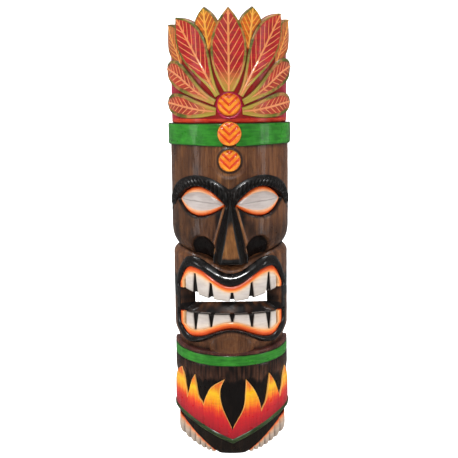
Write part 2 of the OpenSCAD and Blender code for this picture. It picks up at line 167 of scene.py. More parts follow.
def blade(base, tip, left, right, foot=0):
    """The two edges of a leaf shape. left and right are its fullness near the base and the tip, and
    foot is half its width at the base."""
    along = (tip[0] - base[0], tip[1] - base[1])
    length = math.hypot(*along)
    across = (along[1] / length, -along[0] / length)

    def edge(side, full):
        def place(t):
            out = side * fullness(t, full, foot)
            return (base[0] + along[0] * t + across[0] * out, base[1] + along[1] * t + across[1] * out)
        return place

    return edge(-1, left), edge(1, right)


def mirrored(edges):
    """The same pair of edges on the other side of the face, swapped so that they keep their order."""
    def flip(edge):
        return lambda t: (-edge(t)[0], edge(t)[1])
    return flip(edges[1]), flip(edges[0])


def inside(place, base, tip, left, right, foot=0):
    """How far a place lies inside a blade's nearer edge, in millimetres. Negative is outside."""
    dx, dz = tip[0] - base[0], tip[1] - base[1]
    length = math.hypot(dx, dz)
    px, pz = place[0] - base[0], place[1] - base[1]
    t = (px * dx + pz * dz) / length ** 2
    if t <= 0:
        return -math.hypot(px, pz)
    if t >= 1:
        return -math.hypot(place[0] - tip[0], place[1] - tip[1])
    off = (px * dz - pz * dx) / length
    return fullness(t, left if off < 0 else right, foot) - abs(off)


# ---- Carving --------------------------------------------------------------------------------------

# The burn mark darkens with scorch marks and painted shade, and lightens with painted highlight where it is
# negative.
MARKS = ("edge", "across", "along", "share", "burn", "level")
BACK_STAIN = 0.12                # burn mark of the raw wood behind
GOUGE = 0.5                      # depth of the gouge marks in the hollow
WELD = 0.00001                   # metres
SHARP_FROM = 50                  # degrees


def tool_marks(u, z, grain=0.16, facet=0.25):
    """Shallow knife facets and upright grain on a carved surface."""
    facets = noise.noise(Vector((u * 0.11, z * 0.07, 3.1)))
    lines = noise.noise(Vector((u * 0.9, z * 0.035, 7.7)))
    return facet * facets + grain * lines


def on_log(u, z, radius):
    angle = clamp(u / LOG, -math.pi / 2, math.pi / 2)
    return Vector((radius * math.sin(angle) * MM, -radius * math.cos(angle) * MM, GROUND + z * MM))


def length_between(low, high, steps=20):
    """Length of the line midway between two edges."""
    middle = [[(low(i / steps)[k] + high(i / steps)[k]) / 2 for k in (0, 1)] for i in range(steps + 1)]
    return sum(math.dist(a, b) for a, b in zip(middle, middle[1:]))


def carve(bm, edges, skin, back, cells, hole=None, pull=None):
    """Adds a closed piece of carving to bm, ruled between two edges on the log.

    skin(spot) gives the radius of the carved surface, where spot holds u, z, x, t, s and edge, and may
    set spot["burn"] and spot["level"]. back is the radius of the surface behind, or "wall" for the plane
    of the wall. hole(u, z) is true where the piece is cut right through, and pull(u, z) draws the nearest
    points on to the edges of that cut."""
    low, high = edges

    def lay(co):
        t, s = clamp(co.x + 0.5), clamp(co.y + 0.5)
        a, b = low(t), high(t)
        u, z = a[0] + (b[0] - a[0]) * s, a[1] + (b[1] - a[1]) * s
        return (t, s, math.hypot(b[0] - a[0], b[1] - a[1])) + (pull(u, z) if pull else (u, z))
    layers = {mark: bm.verts.layers.float.get(mark) or bm.verts.layers.float.new(mark) for mark in MARKS}
    grid = bmesh.ops.create_grid(bm, x_segments=cells[0], y_segments=cells[1], size=0.5)["verts"]
    spots = {}
    for v in grid:
        t, s, width, u, z = lay(v.co)
        spots[v] = {"u": u, "z": z, "x": sight(u), "t": t, "s": s, "edge": min(s, 1 - s) * width,
                    "across": (s - 0.5) * width, "share": t, "burn": 0.0, "level": s}
    faces = list({f for v in grid for f in v.link_faces})
    if hole:
        cut = [f for f in faces if hole(sum(spots[v]["u"] for v in f.verts) / len(f.verts),
                                        sum(spots[v]["z"] for v in f.verts) / len(f.verts))]
        bmesh.ops.delete(bm, geom=cut, context="FACES")
        faces = [f for f in faces if f.is_valid]
        spots = {v: spot for v, spot in spots.items() if v.is_valid}
    whole = list(spots) + list({e for f in faces for e in f.edges}) + faces
    length = length_between(low, high)
    for v, spot in spots.items():
        spot["along"] = spot["t"] * length
        radius = skin(spot)
        for mark in MARKS:
            v[layers[mark]] = spot[mark]
        spot["front"] = on_log(spot["u"], spot["z"], radius)
    made = bmesh.ops.extrude_face_region(bm, geom=whole, use_keep_orig=True)["geom"]
    for v, spot in spots.items():
        v.co = spot["front"]
    behind = [v for v in made if isinstance(v, bmesh.types.BMVert)]
    for v in behind:
        u, z = lay(v.co)[3:]
        v[layers["burn"]] = BACK_STAIN
        if back == "wall":
            v.co = Vector((on_log(u, z, LOG - 4).x, 0, GROUND + z * MM))
        else:
            gouge = GOUGE * noise.noise(Vector((u * 0.16, z * 0.05, 1.3))) if back == BACK else 0
            v.co = on_log(u, z, back + gouge)


def finish_piece(name, bm, material, replaces=(), body="carving"):
    """Turns a bmesh into a named piece of the figure that rides on its body."""
    bmesh.ops.remove_doubles(bm, verts=bm.verts, dist=WELD)
    bmesh.ops.dissolve_degenerate(bm, edges=bm.edges, dist=WELD)
    bmesh.ops.recalc_face_normals(bm, faces=bm.faces)
    mesh = bpy.data.meshes.new(name)
    bm.to_mesh(mesh)
    bm.free()
    mesh.materials.append(material)
    mesh.shade_smooth()
    mesh.set_sharp_from_angle(angle=math.radians(SHARP_FROM))
    piece = bpy.data.objects.new(name, mesh)
    bpy.context.scene.collection.objects.link(piece)
    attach(piece, body)
    if replaces:
        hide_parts(*replaces)


def carve_piece(name, material, slot, edges, skin, back, cells, replaces=None, **cut):
    """Carves one piece of the figure. It stands for the CAD node of its own name, unless replaces says
    otherwise."""
    bm = bmesh.new()
    carve(bm, edges, skin, back, cells, **cut)
    finish_piece(name, bm, material, (name,) if replaces is None else replaces)


def cuts(spot, grain=0.16, facet=0.25):
    """Tool marks at a spot of a piece."""
    return tool_marks(spot["u"], spot["z"], grain, facet)


def hump(share, start, span):
    """A rounded swelling from one edge of a strip to the other, as a share of its height."""
    return math.sin(math.pi * clamp(start + span * share))


def rounded(edge, radius, rise):
    """Height of an edge rounded over radius, from 0 at the outline to rise."""
    f = clamp(edge / radius)
    return rise * math.sqrt(1 - (1 - f) ** 2)


# ---- Paints and woods -----------------------------------------------------------------------------

def srgb(r, g, b):
    """A colour chip given in 0 to 255, as the linear value that a socket takes."""
    return tuple(c / 255 / 12.92 if c <= 10 else ((c / 255 + 0.055) / 1.055) ** 2.4 for c in (r, g, b)) + (1,)


def shade(chip, share):
    return srgb(*(c * share for c in chip))


class Nodes:
    """A short way to lay out a node tree: each call adds a node and sets or links its inputs."""

    def __init__(self, tree):
        self.tree = tree

    def add(self, kind, props=None, **inputs):
        node = self.tree.nodes.new(kind)
        for key, value in (props or {}).items():
            setattr(node, key, value)
        for key, value in inputs.items():
            self.put(node.inputs[int(key[1:]) if key[1:].isdigit() else key], value)
        return node

    def put(self, socket, value):
        if isinstance(value, bpy.types.NodeSocket):
            self.tree.links.new(value, socket)
        else:
            socket.default_value = value

    def math(self, operation, a, b=0.0, soft=False):
        node = self.add("ShaderNodeMath", {"operation": operation, "use_clamp": soft}, i0=a, i1=b)
        return node.outputs[0]

    def times(self, a, b, soft=False):
        return self.math("MULTIPLY", a, b, soft=soft)

    def plus(self, a, b):
        return self.math("ADD", a, b)

    def minus(self, a, b):
        return self.math("SUBTRACT", a, b)

    def mix(self, share, a, b):
        node = self.add("ShaderNodeMix", {"data_type": "RGBA"}, i0=share, i6=a, i7=b)
        return node.outputs[2]

    def band(self, value, low, high, to_low=0.0, to_high=1.0):
        node = self.add("ShaderNodeMapRange", {"interpolation_type": "SMOOTHSTEP"}, i0=value, i1=low, i2=high,
                        i3=to_low, i4=to_high)
        return node.outputs[0]

    def mark(self, name):
        return self.add("ShaderNodeAttribute", {"attribute_name": name}).outputs["Fac"]

    def speckle(self, scale, stretch=(1, 1, 1), detail=4.0, roughness=0.6, offset=(0, 0, 0)):
        place = self.add("ShaderNodeTexCoord").outputs["Object"]
        place = self.add("ShaderNodeMapping", Vector=place, Scale=stretch, Location=offset).outputs[0]
        return self.add("ShaderNodeTexNoise", Vector=place, Scale=scale, Detail=detail,
                        Roughness=roughness).outputs["Fac"]


def effect(name, outputs, build, inputs=()):
    """A shader node group with named inputs and outputs, built once."""
    group = bpy.data.node_groups.new(name, "ShaderNodeTree")
    for label, kind, value in inputs:
        socket = group.interface.new_socket(name=label, in_out="INPUT", socket_type=kind)
        socket.default_value = value
    for label, kind in outputs:
        group.interface.new_socket(name=label, in_out="OUTPUT", socket_type=kind)
    n = Nodes(group)
    given = n.add("NodeGroupInput").outputs
    results = build(n, given)
    end = n.add("NodeGroupOutput")
    for socket, value in zip(end.inputs, results):
        n.put(socket, value)
    return group


def build_grain(n, given):
    """Upright grain of pale wood: fine lines, broad bands and small pores."""
    lines = n.speckle(900, (1, 1, 0.035), 5, 0.65)
    bands = n.speckle(130, (1, 1, 0.09), 3, 0.5, (3, 1, 2))
    pores = n.band(n.speckle(2200, (1, 1, 0.06), 2, 0.5, (5, 5, 5)), 0.60, 0.72)
    tone = n.plus(n.times(lines, 0.6), n.times(bands, 0.55))
    return tone, pores, n.minus(lines, n.times(pores, 0.6))


def build_brush(n, given):
    """Brush strokes and thin spots in hand-laid paint."""
    strokes = n.speckle(420, (0.12, 0.12, 1), 4, 0.65, (1, 7, 3))
    patches = n.speckle(70, (1, 1, 1), 4, 0.6, (9, 2, 4))
    fine = n.speckle(1500, (1, 1, 1), 3, 0.6)
    return n.plus(n.times(strokes, 0.55), n.times(patches, 0.45)), patches, fine


def build_veins(n, given):
    """Carved leaf veins: a midrib and side veins that rise from it towards the tip."""
    across = n.math("ABSOLUTE", n.mark("across"))
    wander = n.times(n.minus(n.speckle(180, (1, 1, 1), 3), 0.5), 1.6)
    run = n.minus(n.mark("along"), n.times(across, given["Slope"]))
    turn = n.math("FRACT", n.math("DIVIDE", n.plus(run, wander), given["Pitch"]))
    off = n.times(n.math("ABSOLUTE", n.minus(turn, 0.5)), given["Pitch"])
    thick = n.times(given["Width"], n.band(across, 2.0, 22.0, 1.15, 0.6))
    side = n.band(off, thick, n.times(thick, 0.5))
    side = n.times(side, n.band(n.mark("edge"), given["Border"], n.plus(given["Border"], 1.2)))
    rib = n.band(across, n.times(given["Width"], 1.3), n.times(given["Width"], 0.7))
    return (n.math("MAXIMUM", side, rib),)


FLOAT = "NodeSocketFloat"
GRAIN = effect("wood_grain", (("Tone", FLOAT), ("Pores", FLOAT), ("Height", FLOAT)), build_grain)
BRUSH = effect("brush_strokes", (("Tone", FLOAT), ("Patches", FLOAT), ("Fine", FLOAT)), build_brush)
VEINS = effect("leaf_veins", (("Mask", FLOAT),), build_veins,
               (("Pitch", FLOAT, 6.0), ("Slope", FLOAT, 1.2), ("Width", FLOAT, 1.0), ("Border", FLOAT, 3.0)))


def surface(name, base, rough=0.32, bump=0.0003, coat=0.5, metal=0.0):
    """A material whose colour and relief are base(n), under a clear gloss coat."""
    material = bpy.data.materials.new(name)
    material.use_nodes = True
    material.node_tree.nodes.clear()
    n = Nodes(material.node_tree)
    shader = n.add("ShaderNodeBsdfPrincipled")
    n.tree.links.new(shader.outputs[0], n.add("ShaderNodeOutputMaterial").inputs[0])
    colour, relief = base(n)
    n.put(shader.inputs["Base Color"], colour)
    for socket, value in (("Metallic", metal), ("Specular IOR Level", 0.2), ("Coat Weight", coat * 0.45),
                          ("Coat Roughness", 0.12)):
        shader.inputs[socket].default_value = value
    spread = n.speckle(160, (1, 1, 1), 3, 0.6, (2, 8, 5))
    n.put(shader.inputs["Roughness"], n.band(spread, 0.3, 0.7, rough - 0.07, rough + 0.12))
    if relief is not None:
        raised = n.add("ShaderNodeBump", Strength=0.8, Distance=bump, Height=relief)
        n.put(shader.inputs["Normal"], raised.outputs[0])
    return material


def group_node(n, group, **inputs):
    return n.add("ShaderNodeGroup", {"node_tree": group}, **inputs).outputs


def wood(name, dark, middle, light, burn_colour=(18, 12, 10)):
    """Stained wood, scorched and darkened as painted shade where the piece's burn mark says so, and lightened
    as painted highlight where the mark is negative.
    """
    def base(n):
        grain = group_node(n, GRAIN)
        tone = n.mix(n.band(grain["Tone"], 0.42, 0.6), srgb(*dark), srgb(*middle))
        tone = n.mix(n.band(grain["Tone"], 0.58, 0.78), tone, srgb(*light))
        tone = n.mix(n.times(grain["Pores"], 0.55), tone, shade(dark, 0.5))
        cloud = n.speckle(55, (1, 1, 0.6), 4, 0.6, (4, 4, 1))
        tone = n.mix(n.band(cloud, 0.52, 0.72, 0, 0.5), tone, shade(dark, 0.6))
        # A negative burn mark lightens the wood: a painted highlight on the ridges beside the nose, and a
        # paler ring above the brow rosette.
        tone = n.mix(n.band(n.mark("burn"), -0.05, -0.7), tone, srgb(*light))
        # A positive burn mark darkens the wood towards the burn colour: scorch marks, and painted shade in
        # the head's hollows and creases, beside and under the nose and under the bands.
        scorch_and_shade = n.plus(n.mark("burn"), n.times(n.minus(cloud, 0.5), 0.5))
        scorch_and_shade = n.band(scorch_and_shade, 0.12, 0.85)
        return n.mix(scorch_and_shade, tone, srgb(*burn_colour)), grain["Height"]
    return surface(name, base, rough=0.34, bump=0.00035)


def leaf_paint(name, inner, border, vein, foot, tip, border_w, pitch, slope, width):
    """Leaf paint: a coloured field with veins, inside a border that meets the next leaf in a dark
    groove."""
    def base(n):
        brush = group_node(n, BRUSH)
        veins = group_node(n, VEINS, Pitch=pitch, Slope=slope, Width=width, Border=border_w)
        deep = shade(inner, 0.8)
        field = n.mix(n.band(brush["Tone"], 0.42, 0.62), deep, srgb(*inner))
        field = n.mix(n.band(n.mark("share"), 0.3, 0.05, 0, 0.6), field, srgb(*foot))
        field = n.mix(n.band(n.mark("share"), 0.72, 1.0, 0, 0.7), field, srgb(*tip))
        field = n.mix(n.times(veins["Mask"], 0.93), field, srgb(*vein))
        wobble = n.plus(n.mark("edge"), n.times(n.minus(brush["Patches"], 0.5), 2.4))
        rim = n.band(wobble, border_w + 0.5, border_w - 0.5)
        rim_tone = n.mix(n.band(brush["Tone"], 0.4, 0.65), shade(border, 0.66), srgb(*border))
        rim_tone = n.mix(n.band(n.mark("share"), 0.5, 0.12, 0, 0.85), rim_tone, srgb(*foot))
        rim_tone = n.mix(n.band(brush["Patches"], 0.46, 0.62, 0, 0.6), rim_tone, shade(vein, 0.9))
        colour = n.mix(rim, field, rim_tone)
        groove = n.band(n.mark("edge"), 1.0, 0.25)
        colour = n.mix(n.times(groove, 0.75), colour, srgb(96, 30, 18))
        relief = n.plus(veins["Mask"], n.times(brush["Fine"], 0.25))
        return colour, relief
    return surface(name, base, rough=0.36, bump=0.0004, coat=0.35)


def paint(name, dark, light, wear=None, edge_shade=0.0, coat=0.4, rough=0.33, bump=0.0002):
    """One colour of paint with brush strokes; along the edges of the piece it may be worn, and darkened as
    painted shade.
    """
    def base(n):
        brush = group_node(n, BRUSH)
        colour = n.mix(n.band(brush["Tone"], 0.36, 0.66), srgb(*dark), srgb(*light))
        if wear:
            thin = n.times(n.band(n.mark("edge"), 1.6, 0.2), n.band(brush["Patches"], 0.4, 0.6))
            colour = n.mix(thin, colour, srgb(*wear))
        # Painted shade along the piece's edges.
        if edge_shade:
            colour = n.mix(n.band(n.mark("edge"), 1.3, 0.1, 0, edge_shade), colour, srgb(30, 16, 10))
        colour = n.mix(n.times(n.mark("burn"), 0.9), colour, srgb(22, 14, 11))
        return colour, n.plus(brush["Tone"], n.times(brush["Fine"], 0.3))
    return surface(name, base, rough=rough, bump=bump, coat=coat)


def fading(name, mark, stops, streak=0.06, line=None):
    """Wet-blended paint: colours that follow a mark of the piece, with ragged brush streaks."""
    def base(n):
        brush = group_node(n, BRUSH)
        upright = n.speckle(520, (1, 1, 0.08), 4, 0.7, (6, 1, 1))
        value = n.plus(n.mark(mark), n.times(n.minus(upright, 0.5), streak * 2))
        ramp = n.add("ShaderNodeValToRGB", Fac=value)
        ramp.color_ramp.elements.remove(ramp.color_ramp.elements[1])
        ramp.color_ramp.elements[0].position = stops[0][0]
        ramp.color_ramp.elements[0].color = srgb(*stops[0][1])
        for place, chip in stops[1:]:
            ramp.color_ramp.elements.new(place).color = srgb(*chip)
        colour = n.mix(n.band(brush["Tone"], 0.35, 0.6, 0.2, 0), ramp.outputs[0], srgb(90, 30, 15))
        if line:
            colour = n.mix(n.band(n.mark("edge"), 1.3, 0.4, 0, 0.75), colour, srgb(*line))
        # The burn mark darkens the paint where the piece marks it, and so lays painted shade in the grooves
        # between the toes of a foot.
        colour = n.mix(n.times(n.mark("burn"), 0.95, soft=True), colour, srgb(26, 15, 11))
        return colour, n.plus(brush["Tone"], n.times(brush["Fine"], 0.3))
    return surface(name, base, rough=0.33, bump=0.0002, coat=0.4)


def steel(name, dark, light, rough):
    """Zinc-plated steel with a fine spangle."""
    def base(n):
        spangle = n.speckle(900, (1, 1, 1), 3, 0.5)
        return n.mix(n.band(spangle, 0.35, 0.65), srgb(*dark), srgb(*light)), n.speckle(2500, (1, 1, 1), 2)
    return surface(name, base, rough=rough, bump=0.00003, coat=0.0, metal=1.0)


HEAD_WOOD = wood("head_wood", (80, 46, 28), (118, 74, 44), (164, 110, 66))
MUZZLE_WOOD = wood("muzzle_wood", (70, 42, 26), (100, 62, 38), (140, 92, 56))
SKIRT_WOOD = wood("skirt_wood", (58, 32, 22), (84, 50, 34), (116, 76, 52), (14, 7, 5))
PLATE_WOOD = wood("plate_wood", (16, 10, 6), (27, 17, 9), (47, 32, 19), (7, 5, 3))
NOSE_WOOD = wood("nose_wood", (90, 54, 26), (128, 82, 42), (166, 114, 62), (11, 8, 6))
CHIN_WOOD = wood("chin_wood", (70, 40, 22), (98, 60, 34), (128, 82, 48))
LEDGE_WOOD = wood("ledge_wood", (58, 28, 24), (82, 42, 34), (116, 66, 52))
RED_LEAF = leaf_paint("red_leaf", inner=(194, 36, 38), border=(114, 124, 36), vein=(240, 150, 88),
                      foot=(194, 172, 70), tip=(180, 58, 38), border_w=3.2, pitch=10.5, slope=1.7,
                      width=1.15)
PEAK_LEAF = leaf_paint("peak_leaf", inner=(226, 108, 30), border=(124, 124, 34), vein=(252, 180, 66),
                       foot=(244, 110, 46), tip=(150, 144, 40), border_w=2.6, pitch=8.0, slope=1.6,
                       width=1.15)
CORNER_LEAF = leaf_paint("corner_leaf", inner=(198, 92, 46), border=(138, 118, 46), vein=(238, 164, 84),
                         foot=(206, 88, 46), tip=(176, 128, 64), border_w=3.2, pitch=7.0, slope=1.6,
                         width=0.95)
ROSE_LEAF = leaf_paint("rose_leaf", inner=(190, 66, 48), border=(118, 122, 42), vein=(230, 146, 92),
                       foot=(186, 162, 64), tip=(178, 84, 60), border_w=4.2, pitch=7.6, slope=1.15,
                       width=1.05)
GREEN = paint("green_paint", (32, 104, 26), (56, 148, 42), wear=(50, 52, 34), edge_shade=0.6)
MAGENTA = paint("magenta_paint", (150, 14, 50), (216, 40, 84), edge_shade=0.5)
MOULDING = paint("moulding_paint", (186, 30, 24), (240, 80, 44), edge_shade=0.4)
CROWN_WOOD = wood("crown_wood", (84, 52, 32), (120, 78, 48), (160, 112, 72))
BROW_BLACK = paint("brow_black", (8, 7, 7), (26, 19, 16), coat=0.3, rough=0.36, bump=0.00006)
LIP_BLACK = paint("lip_black", (9, 8, 8), (24, 18, 16), coat=1.2, rough=0.26, bump=0.00005)
RIDGE_GREEN = paint("ridge_green", (30, 44, 22), (62, 82, 42), wear=(92, 106, 66), edge_shade=0.6)
GROUND_RED, GROUND_CRIMSON, GROUND_PINK = (150, 24, 22), (182, 28, 56), (196, 44, 90)
GROUND_PAINT = fading("ground_paint", "share",
                      ((0.0, GROUND_PINK), (0.1, GROUND_CRIMSON), (0.2, GROUND_RED),
                       (0.8, GROUND_RED), (0.9, GROUND_CRIMSON), (1.0, GROUND_PINK)), 0.04)
GUM = fading("gum_paint", "level",
             ((0.0, (250, 196, 140)), (0.2, (252, 148, 70)), (0.5, (244, 100, 38)), (1.0, (230, 74, 28))),
             0.05)
RIM = fading("eye_rim_paint", "level",
             ((0.0, (178, 54, 24)), (0.3, (236, 92, 36)), (0.65, (248, 128, 62)), (1.0, (244, 186, 140))),
             0.08)
FLAME = fading("flame_paint", "level",
               ((0.0, (156, 18, 36)), (0.28, (204, 26, 34)), (0.42, (234, 70, 26)), (0.54, (248, 150, 16)),
                (0.72, (252, 194, 24)), (0.86, (240, 128, 36)), (1.0, (226, 84, 40))), 0.2, (250, 188, 96))
EYE = fading("eye_paint", "level",
             ((0.0, (246, 186, 146)), (0.12, (212, 194, 184)), (0.45, (198, 187, 182)),
              (1.0, (202, 192, 187))), 0.04)
TOOTH = fading("tooth_paint", "level",
               ((0.0, (196, 186, 176)), (0.5, (216, 206, 198)), (0.82, (230, 214, 198)),
                (1.0, (250, 196, 140))), 0.05)
FOOT = fading("foot_paint", "level",
              ((0.0, (160, 146, 132)), (0.5, (186, 168, 152)), (0.76, (212, 164, 130)), (0.9, (240, 124, 60)),
               (1.0, (216, 70, 40))), 0.05)
ZINC = steel("zinc", (150, 152, 152), (206, 206, 202), 0.3)
SCREW = steel("screw_steel", (170, 166, 150), (214, 210, 196), 0.26)


# ---- Head -------------------------------------------------------------------------------------------

EYE_Z = HEAD_Z + 49
SOCKET = dict(base=arc(-4.5, EYE_Z), tip=arc(-60, EYE_Z + 6), left=(18, 22), right=(26, 24))
EYEBALL = dict(base=arc(-5.5, EYE_Z + 1), tip=arc(-57.5, EYE_Z + 7), left=(13, 16), right=(18, 16))
SOCKET_DEEP = 7
CHEEK_ROUND, CHEEK_TALL = 7.5, 28
CHEEK_HOLLOW = dict(u=33.5, z=HEAD_Z - 1.0, wide=16.5, tall=17.0, deep=9.0)


def hollow_beside_nose(u, z):
    """Share, from 0 at the rim to 1 at the middle, of the scooped hollow under a cheek."""
    off = hollow_distance(u, z)
    return math.sqrt(1 - off * off) if off < 1 else 0.0


def hollow_distance(u, z):
    """Distance from the middle of the hollow under a cheek, where 1 is its rim."""
    return math.hypot((abs(u) - CHEEK_HOLLOW["u"]) / CHEEK_HOLLOW["wide"],
                      (z - CHEEK_HOLLOW["z"]) / CHEEK_HOLLOW["tall"])


def head_skin(spot):
    u, z, x = spot["u"], spot["z"], spot["x"]
    left = (-abs(u), z)
    radius = LOG + 0.2 + tool_marks(u, z)
    # The cheeks round in above the muzzle.
    radius -= CHEEK_ROUND * (1 - clamp((z - smile(x)) / CHEEK_TALL)) ** 3.2
    hollow = hollow_beside_nose(u, z)
    radius -= CHEEK_HOLLOW["deep"] * hollow + hollow * tool_marks(u * 1.6 + 9, z * 1.6, 0.1, 1.1)
    socket = inside(left, **SOCKET)
    radius -= SOCKET_DEEP * smooth((socket + 0.8) / 1.6)
    # A knife line runs round under each eye.
    if z < EYE_Z + 2:
        radius -= 0.9 * clamp(1 - abs(socket + 1.6) / 1.4)
    # A shallow ring is cut round the brow rosette.
    ring = math.hypot(u, z - ROSETTE_BROW_Z)
    radius -= 1.1 * clamp(1 - abs(ring - ROSETTE_R - 4.5) / 4.5)
    near_nose = clamp(1 - abs(x) / 25) * clamp((EYE_Z + 26 - z) / 16)
    # Two ridges run down from the inner corners of the eyes to the wings of the nose, raised and painted
    # lighter as a highlight.
    crease = abs(abs(x) - 6.5 - (EYE_Z - z) * 0.27)
    # Painted shade: the wood is darkened round the eye sockets, in and about the cheek hollows, beside and
    # under the nose, in the crease above the muzzle, round the brow rosette, under the headband and its disc,
    # and between the rosette and the brows.
    burn = max(
        0.95 * clamp(1 + min(socket, 0) / 6),                              # round the eyes
        0.92 * smooth(hollow * 2.2),                                       # in the cheek hollows
        0.3 * clamp(1 - (hollow_distance(u, z) - 1) * 2.2),                # about the hollows
        1.1 * smooth(near_nose * 1.5),                                     # beside the nose
        0.75 * clamp(1 - (z - smile(x)) / 8),                              # above the muzzle
        0.8 * clamp(1 - abs(ring - ROSETTE_R - 1.5) / 3),                  # round the brow rosette
        0.6 * clamp(1 - (BAND_Z - z) / 7),                                 # under the headband
        0.4 * clamp(1 - (BAND_Z - z) / 26) * clamp(1 - abs(x) / 34),       # below the band's disc
        # and between the brow rosette and the brows
        0.52 * smooth(1.3 - math.hypot(u / 22, (z - ROSETTE_BROW_Z + ROSETTE_R + 15) / 18)))
    # Painted shade: the wood is darker towards the left of the forehead, away from the light, and darker on
    # the cheeks.
    cheek = smooth((EYE_Z + 8 - z) / 40)
    burn = max(burn, 0.3 - 0.2 * x / LOG * (1 - cheek) + 0.24 * cheek)
    if HEAD_Z - 6 < z < EYE_Z:
        highlit_ridge = smooth(1 - crease / 2.0) * smooth((hollow_distance(u, z) - 0.95) * 8)
        # Painted highlight: the mark goes negative along the ridges, which lightens the wood.
        burn = burn * (1 - highlit_ridge) - 0.5 * highlit_ridge
        radius += 1.2 * highlit_ridge
    # A paler ring shows above the brow rosette.
    halo = smooth(1 - abs(ring - ROSETTE_R - 6) / 4) * smooth(1 + (z - ROSETTE_BROW_Z) / 12)
    spot["burn"] = burn - 0.5 * halo if burn < 0.55 else burn
    return radius


def make_head():
    def skin(spot):
        under_band = spot["z"] > BAND_Z + 1.5
        return LOG - 0.8 if under_band else head_skin(spot)
    edges = round_the_log(lambda u: smile(sight(u)), lambda u: CROWN_Z)
    carve_piece("head_carving", HEAD_WOOD, "stained_wood", edges, skin, BACK, (210, 150), ("head_block",))


# The upper and lower edges of a brow, from its outer end to the middle, as degrees round the log and height.
BROW_OUT = rail([arc(*p) for p in ((-84, 276), (-78, 293), (-66, 307), (-55, 314.5), (-45, 318.5),
                                   (-36, 320.5), (-26, 320), (-17, 317), (-9, 312), (0, 305))])
BROW_IN = rail([arc(*p) for p in ((-80, 274), (-65, 288), (-57.5, 297.5), (-50, 303), (-42, 307),
                                  (-33, 309), (-25, 307.5), (-17, 303), (-9, 295.5), (0, 289))])
BROW_CUTS = 19


def brow_skin(spot):
    t, s = spot["t"], spot["s"]
    hood = LOG + 3.6 * hump(s, 0.12, 0.8) ** 0.8
    # Knife cuts slant across the hood, deepest along its lower side.
    turn = (t * BROW_CUTS + s * 0.5) % 1
    cut = 1.9 * (1 - abs(turn - 0.5) * 2) ** 1.4 * smooth(s * 7) * smooth((0.82 - s) * 3.5)
    thin = 3.2 * (1 - smooth(t * 7)) + 2.4 * clamp((t - 0.9) / 0.1) ** 2
    return hood - cut + cuts(spot, 0.02, 0.15) - thin


def make_brow(side, name):
    edges = tuple(mirrored((BROW_OUT, BROW_IN))) if side > 0 else (BROW_IN, BROW_OUT)
    carve_piece(name, BROW_BLACK, "black_paint", edges, brow_skin, LOG - 3, (200, 16))


def eye_edges(shape, side):
    edges = blade(shape["base"], shape["tip"], shape["left"], shape["right"])
    return mirrored(edges) if side > 0 else edges


def make_eye(side, word):
    def rim(spot):
        spot["burn"] = 0.7 * clamp(1 - spot["edge"] / 0.8)
        spot["level"] = clamp(spot["edge"] / 5.5)
        return LOG - 5.2 + rounded(spot["edge"], 6, 3.6)

    def ball(spot):
        mid = abs(spot["across"])
        crease = 0.55 * clamp(1 - mid / 0.9)
        spot["burn"] = 0.26 * clamp(1 - mid / 0.8)
        spot["level"] = clamp(spot["edge"] / 10)
        return LOG - 3.4 + rounded(spot["edge"], 11, 3.4) - crease
    carve_piece("eye_rim_" + word, RIM, "orange_paint", eye_edges(SOCKET, side), rim, LOG - 8, (70, 34))
    carve_piece("eye_" + word, EYE, "eye_white", eye_edges(EYEBALL, side), ball, LOG - 7, (70, 44))


NOSE_TOP, NOSE_LOW = EYE_Z + 7, HEAD_Z - 15
# Half widths of the nose, at heights above its tip.
NOSE_SIDE = ((20, 0), (19.5, 12), (13, 36), (7, 56), (3, NOSE_TOP - NOSE_LOW))


def nose_skin(spot):
    """A flat front that widens downwards, between steep burnt flanks, over an undercut tip."""
    off, s = abs(spot["t"] - 0.5) * 2, spot["s"]
    face = 0.42 * (1 - s)
    out = 3.0 + 9.5 * (1 - s) ** 1.15
    flank = clamp((1 - off) / (1 - face))
    tip = math.sqrt(1 - (1 - clamp(s / 0.12)) ** 2)
    # The flanks and the upper end are burnt; the dark over the undercut tip is painted shadow under the nose.
    spot["burn"] = max(1.2 * smooth((off - face) / 0.14) * (1 - smooth((off - 0.9) / 0.06)),
                       1.2 * smooth((s - 0.42) / 0.4), 1.3 * smooth((0.24 + 0.05 * off * off - s) / 0.13))
    relief = (out + 3.5) * (0.25 + 0.75 * tip) * smooth(flank)
    return LOG - 3.5 + relief + 0.1 * tool_marks(spot["u"] * 2, spot["z"])


def make_nose():
    edges = [rail([front(side * x, NOSE_LOW + up) for x, up in NOSE_SIDE]) for side in (-1, 1)]

    def skin(spot):
        # The nose is ruled from side to side, and its skin runs from the foot up.
        turned = dict(spot, t=1 - spot["s"], s=spot["t"])
        radius = nose_skin(turned)
        spot["burn"] = turned["burn"]
        return radius
    carve_piece("nose", NOSE_WOOD, "light_wood", edges, skin, LOG - 8, (90, 56))


# ---- Muzzle and mouth -------------------------------------------------------------------------------

UPPER = dict(middle=19.0, rise=20.0, bite=1.5, bite_rise=11.0, up=1)
LOWER = dict(middle=29.0, rise=12.0, bite=13.5, bite_rise=2.0, up=-1)
TOOTH_REACH = 0.93
GUM_W = 7.0
GUM_STEPS = 24
LIP_SIDE, LIP_CORNER = 3.2, 2
MOUTH_DEEP, GAP_DEEP = 9.6, 4.6   # depth of the mouth, and of the gaps between the teeth
SLOT_HALF = 41.0
SLOT_U = LOG * math.asin(SLOT_HALF / BACK)
FLOOR_FRONT, FLOOR_BACK = BITE - 14.5, BITE - 7
FLOOR_SLOPE = 0.222
SNAP_U, SNAP_Z = 0.55, 0.42
GAPS = (-0.72, -0.4, 0.02, 0.41, 0.76)
GAP_W = 5.5
CHIN_W = 58


def arch(row, share):
    share = abs(share)
    return (row["middle"] + row["rise"] * (1 - math.cos(min(share / 0.76, 1) * math.pi)) / 2
            - row["rise"] * 1.15 * (max(share - 0.76, 0) / 0.24) ** 2.4)


